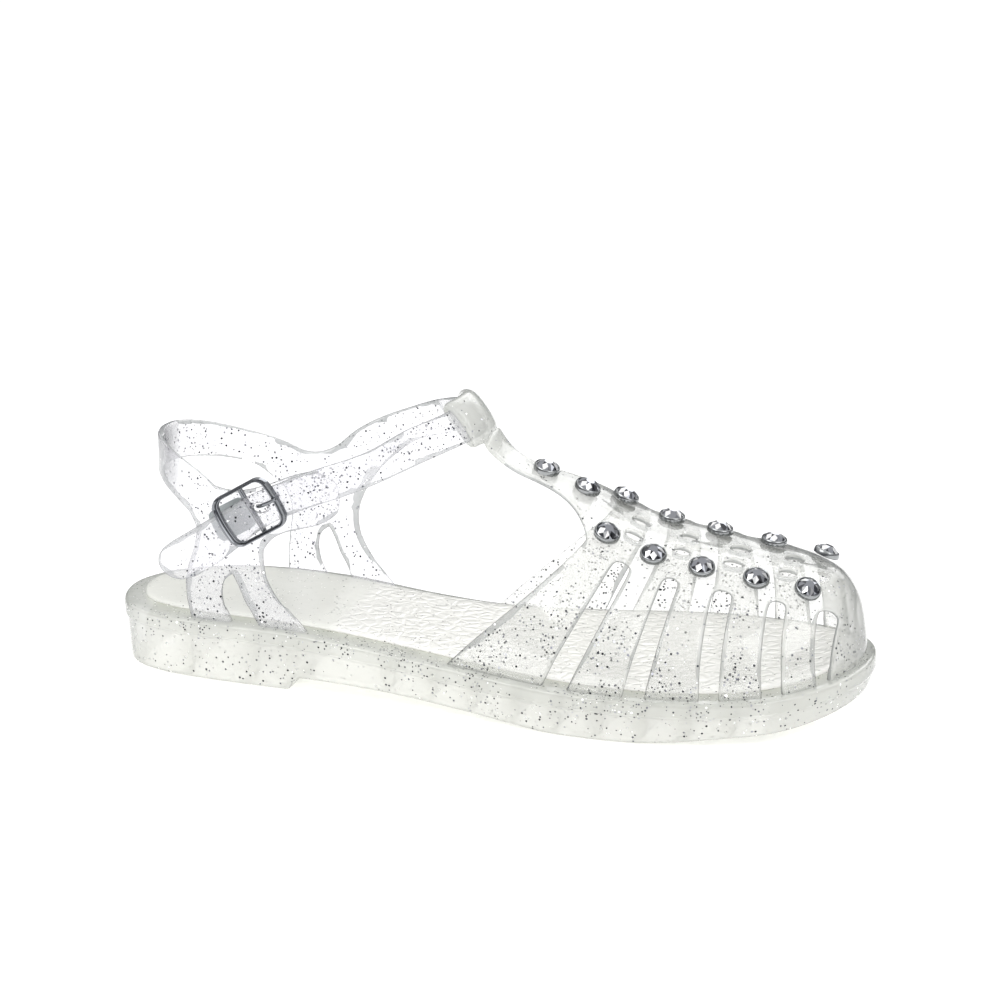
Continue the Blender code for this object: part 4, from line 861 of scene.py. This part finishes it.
@dataclass
class Stones:
    """Twelve settings, each a turned cup, and the brilliant-cut crystals in them."""

    rim: float = 4.3 * MM  # radius of a cup
    tall: float = 2.0 * MM
    stone: float = 3.7 * MM  # radius of a crystal
    girdle: float = 0.5 * MM  # height of its straight edge
    crown: float = 1.9 * MM  # and of its cut top
    # The kites round a crystal, each with a painted reflection: most are painted bright, as catching the light
    kites: tuple[PaintedFacet, ...] = (
        PaintedFacet.BRIGHT, PaintedFacet.MID, PaintedFacet.BRIGHT, PaintedFacet.BRIGHT, PaintedFacet.DARK, PaintedFacet.BRIGHT, PaintedFacet.BRIGHT, PaintedFacet.MID,
    )

    def build(self, solids: dict[str, bpy.types.Object]) -> None:
        """Makes a setting and a crystal for each solid.

        Args:
            solids: The solids by name.
        """
        metal, facets = SETTING_METAL.build(), CRYSTAL.build()
        names = sorted(name[len("setting_") :] for name in solids if name.startswith("setting_"))
        for count, name in enumerate(names):
            frame = self.standing(solids[f"setting_{name}"])
            settle(self.cup(name, frame, metal), "polished_zinc_alloy", f"setting_{name}")
            settle(self.crystal(name, frame, facets, count), "cut_glass", f"stone_{name}")

    def standing(self, source: bpy.types.Object) -> Matrix:
        """Finds where a setting stands.

        Args:
            source: The solid of the setting, which is round and lower than it is wide.

        Returns:
            A frame at the middle of its foot, with its axis last.
        """
        corners = np.array([tuple(corner.co) for corner in source.data.vertices])
        middle = corners.mean(axis=0)
        out = np.linalg.svd(corners - middle, full_matrices=False)[2][2]
        out = out if out[2] > 0 else -out
        middle = middle + out * ((corners - middle) @ out).min()
        ahead = np.array([1.0, 0.0, 0.0]) - out * out[0]
        ahead /= np.linalg.norm(ahead)
        frame = Matrix(np.stack([ahead, np.cross(out, ahead), out]).tolist()).transposed().to_4x4()
        frame.translation = Vector(middle)
        return frame

    def cup(self, name: str, frame: Matrix, metal: bpy.types.Material) -> bpy.types.Object:
        """Makes a setting: a foot, a wall that leans in and a rolled rim over the crystal.

        Args:
            name: The stone's name.
            frame: Where it stands.
            metal: Its finish.

        Returns:
            The piece.
        """
        rim, tall = self.rim, self.tall
        profile = (
            (0.2 * MM, 0.0),
            (0.94 * rim, 0.0),
            (rim, 0.12 * tall),
            (rim, 0.50 * tall),
            (0.97 * rim, 0.80 * tall),
            (0.93 * rim, 0.96 * tall),
            (0.89 * rim, tall),
            (0.85 * rim, 0.93 * tall),
            (0.83 * rim, 0.70 * tall),
            (0.80 * rim, 0.48 * tall),
            (0.2 * MM, 0.46 * tall),
        )
        shape = bmesh.new()
        lathe(shape, profile, 32, frame)
        return piece_of(shape, f"cup_{name}", True, metal)

    def crystal(self, name: str, frame: Matrix, facets: list[bpy.types.Material], seed: int) -> bpy.types.Object:
        """Makes a crystal: a table, eight stars, eight kites and sixteen facets down to the girdle.

        Args:
            name: The stone's name.
            frame: Where its setting stands.
            facets: Its finishes, one for each painted reflection.
            seed: Turns the pattern of painted bright and dark reflections on the facets from stone to stone.

        Returns:
            The piece.
        """
        shape = bmesh.new()
        low = 0.50 * self.tall

        def ring(count: int, offset: float, radius: float, height: float) -> list[bmesh.types.BMVert]:
            """Corners round the stone."""
            turns = [2 * math.pi * (n + offset) / count + 0.3 * seed for n in range(count)]
            points = [Vector((radius * math.cos(turn), radius * math.sin(turn), height)) for turn in turns]
            return [shape.verts.new(frame @ point) for point in points]

        foot = ring(16, 0.0, 0.93 * self.stone, low)
        edge = ring(16, 0.0, self.stone, low + self.girdle)
        belt = ring(8, 0.5, 0.74 * self.stone, low + self.girdle + 0.66 * self.crown)
        table = ring(8, 0.0, 0.40 * self.stone, low + self.girdle + self.crown)
        # Each facet gets a painted reflection: the foot, and every other star and girdle facet, painted dark
        shape.faces.new(reversed(foot)).material_index = PaintedFacet.DARK.value
        shape.faces.new(table).material_index = PaintedFacet.MID.value
        for k in range(8):
            after, before = (k + 1) % 8, (k - 1) % 8
            star = shape.faces.new((table[k], belt[k], table[after]))
            star.material_index = (PaintedFacet.DARK if (k + seed) % 2 else PaintedFacet.MID).value
            kite = shape.faces.new((table[k], belt[before], edge[2 * k], belt[k]))
            kite.material_index = self.kites[(k + 3 * seed) % 8].value
            for n in (2 * k, 2 * k + 1):
                girdle = shape.faces.new((belt[k], edge[n], edge[(n + 1) % 16]))
                girdle.material_index = (PaintedFacet.DARK if (n + seed) % 2 else PaintedFacet.MID).value
        for n in range(16):
            m = (n + 1) % 16
            shape.faces.new((foot[n], foot[m], edge[m], edge[n])).material_index = PaintedFacet.DARK.value
        return piece_of(shape, f"crystal_{name}", False, *facets)


@dataclass
class Studio:
    """Pale floor, soft lights and the camera at the photo's angle."""

    azimuth: float = 16.28
    elevation: float = 18.14
    distance: float = 1.250
    target: tuple[float, float, float] = (0.0, 0.0034, 0.0326)
    frame: float = 1000.0  # pixels across the photo
    focal: float = 3860.0  # focal length in those pixels
    target_pixel: tuple[float, float] = (493.0, 581.1)
    soft: dict[str, tuple[tuple[float, float, float], float, float]] = field(
        default_factory=lambda: {
            # name: place, side of the square lamp, watts
            "key_light": ((-0.55, -0.75, 1.05), 0.9, 7.0),
            "fill_light": ((0.95, -0.55, 0.75), 0.8, 3.5),
            "back_light": ((0.15, 0.95, 0.85), 0.9, 6.0),
        }
    )

    def build(self) -> None:
        """Makes the whole set."""
        self.camera()
        self.floor()
        self.lights()

    def camera(self) -> None:
        """Aims the camera so that the target falls on its pixel."""
        turn, lift = math.radians(self.azimuth), math.radians(self.elevation)
        back = Vector((math.sin(turn) * math.cos(lift), -math.cos(turn) * math.cos(lift), math.sin(lift)))
        right = Vector((math.cos(turn), math.sin(turn), 0.0))
        up = back.cross(right)
        across = (0.5 * self.frame - self.target_pixel[0]) / self.focal
        rise = (self.target_pixel[1] - 0.5 * self.frame) / self.focal
        forward = (right * across + up * rise - back).normalized()
        right = forward.cross(Vector((0, 0, 1))).normalized()
        up = right.cross(forward)
        lens = bpy.data.cameras.new("photo_camera")
        lens.sensor_width, lens.sensor_fit = 36.0, "HORIZONTAL"
        lens.lens = lens.sensor_width * self.focal / self.frame
        lens.clip_start, lens.clip_end = 0.05, 20.0
        camera = bpy.data.objects.new("photo_camera", lens)
        turned = Matrix((right, up, -forward)).transposed().to_4x4()
        camera.matrix_world = Matrix.Translation(Vector(self.target) + back * self.distance) @ turned
        bpy.context.scene.collection.objects.link(camera)
        bpy.context.scene.camera = camera

    def floor(self) -> None:
        """A wide pale sheet under the sole."""
        shape = bmesh.new()
        bmesh.ops.create_grid(shape, x_segments=2, y_segments=2, size=4.0)
        mesh = bpy.data.meshes.new("floor")
        shape.to_mesh(mesh)
        shape.free()
        sheet = bpy.data.objects.new("floor", mesh)
        sheet.location.z = -0.2 * MM
        bpy.context.scene.collection.objects.link(sheet)
        made, tree, out = new_material("white_paper_floor")
        paper = node(tree, "BsdfPrincipled", Base_Color=linear("#FFFFFF"), Roughness=0.9)
        tree.links.new(paper.outputs[0], out.inputs["Surface"])
        mesh.materials.append(made)

    def lights(self) -> None:
        """Square soft lamps and a pale surround."""
        scene = bpy.context.scene
        for name, (place, side, watts) in self.soft.items():
            lamp = bpy.data.lights.new(name, "AREA")
            lamp.size, lamp.energy = side, watts
            thing = bpy.data.objects.new(name, lamp)
            thing.location = place
            aim = Vector(self.target) - Vector(place)
            thing.rotation_euler = aim.to_track_quat("-Z", "Y").to_euler()
            scene.collection.objects.link(thing)
        world = bpy.data.worlds.new("soft_surround")
        world.use_nodes = True
        world.node_tree.nodes.clear()
        tree = world.node_tree
        # White above, down to grey at the horizon, as a studio's far walls are: metal and gloss need it
        way = node(tree, "SeparateXYZ", Vector=node(tree, "TexCoord").outputs["Generated"])
        walls = node(tree, "ValToRGB", Fac=way.outputs["Z"])
        ramp = walls.color_ramp
        ramp.elements[0].position, ramp.elements[0].color = 0.0, linear("#5C5D60")
        ramp.elements[1].position, ramp.elements[1].color = 0.55, linear("#FFFFFF")
        ramp.elements.new(0.22).color = linear("#77787C")
        shade = node(tree, "Background", Color=walls.outputs["Color"], Strength=1.0)
        out = tree.nodes.new("ShaderNodeOutputWorld")
        tree.links.new(shade.outputs[0], out.inputs["Surface"])
        scene.world = world
        scene.view_settings.view_transform = "Standard"


def main(frame: dict) -> None:
    """Builds every sub-assembly and the set.
    """
    logging.basicConfig(level=logging.INFO, format="%(name)s %(message)s")
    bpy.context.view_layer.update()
    solids = frame["nodes"]
    for assembly in (Upper(), Sole(), Buckle(), Stones()):
        assembly.build(solids)
    Studio().build()


if __name__ == "__main__":
    main(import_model())
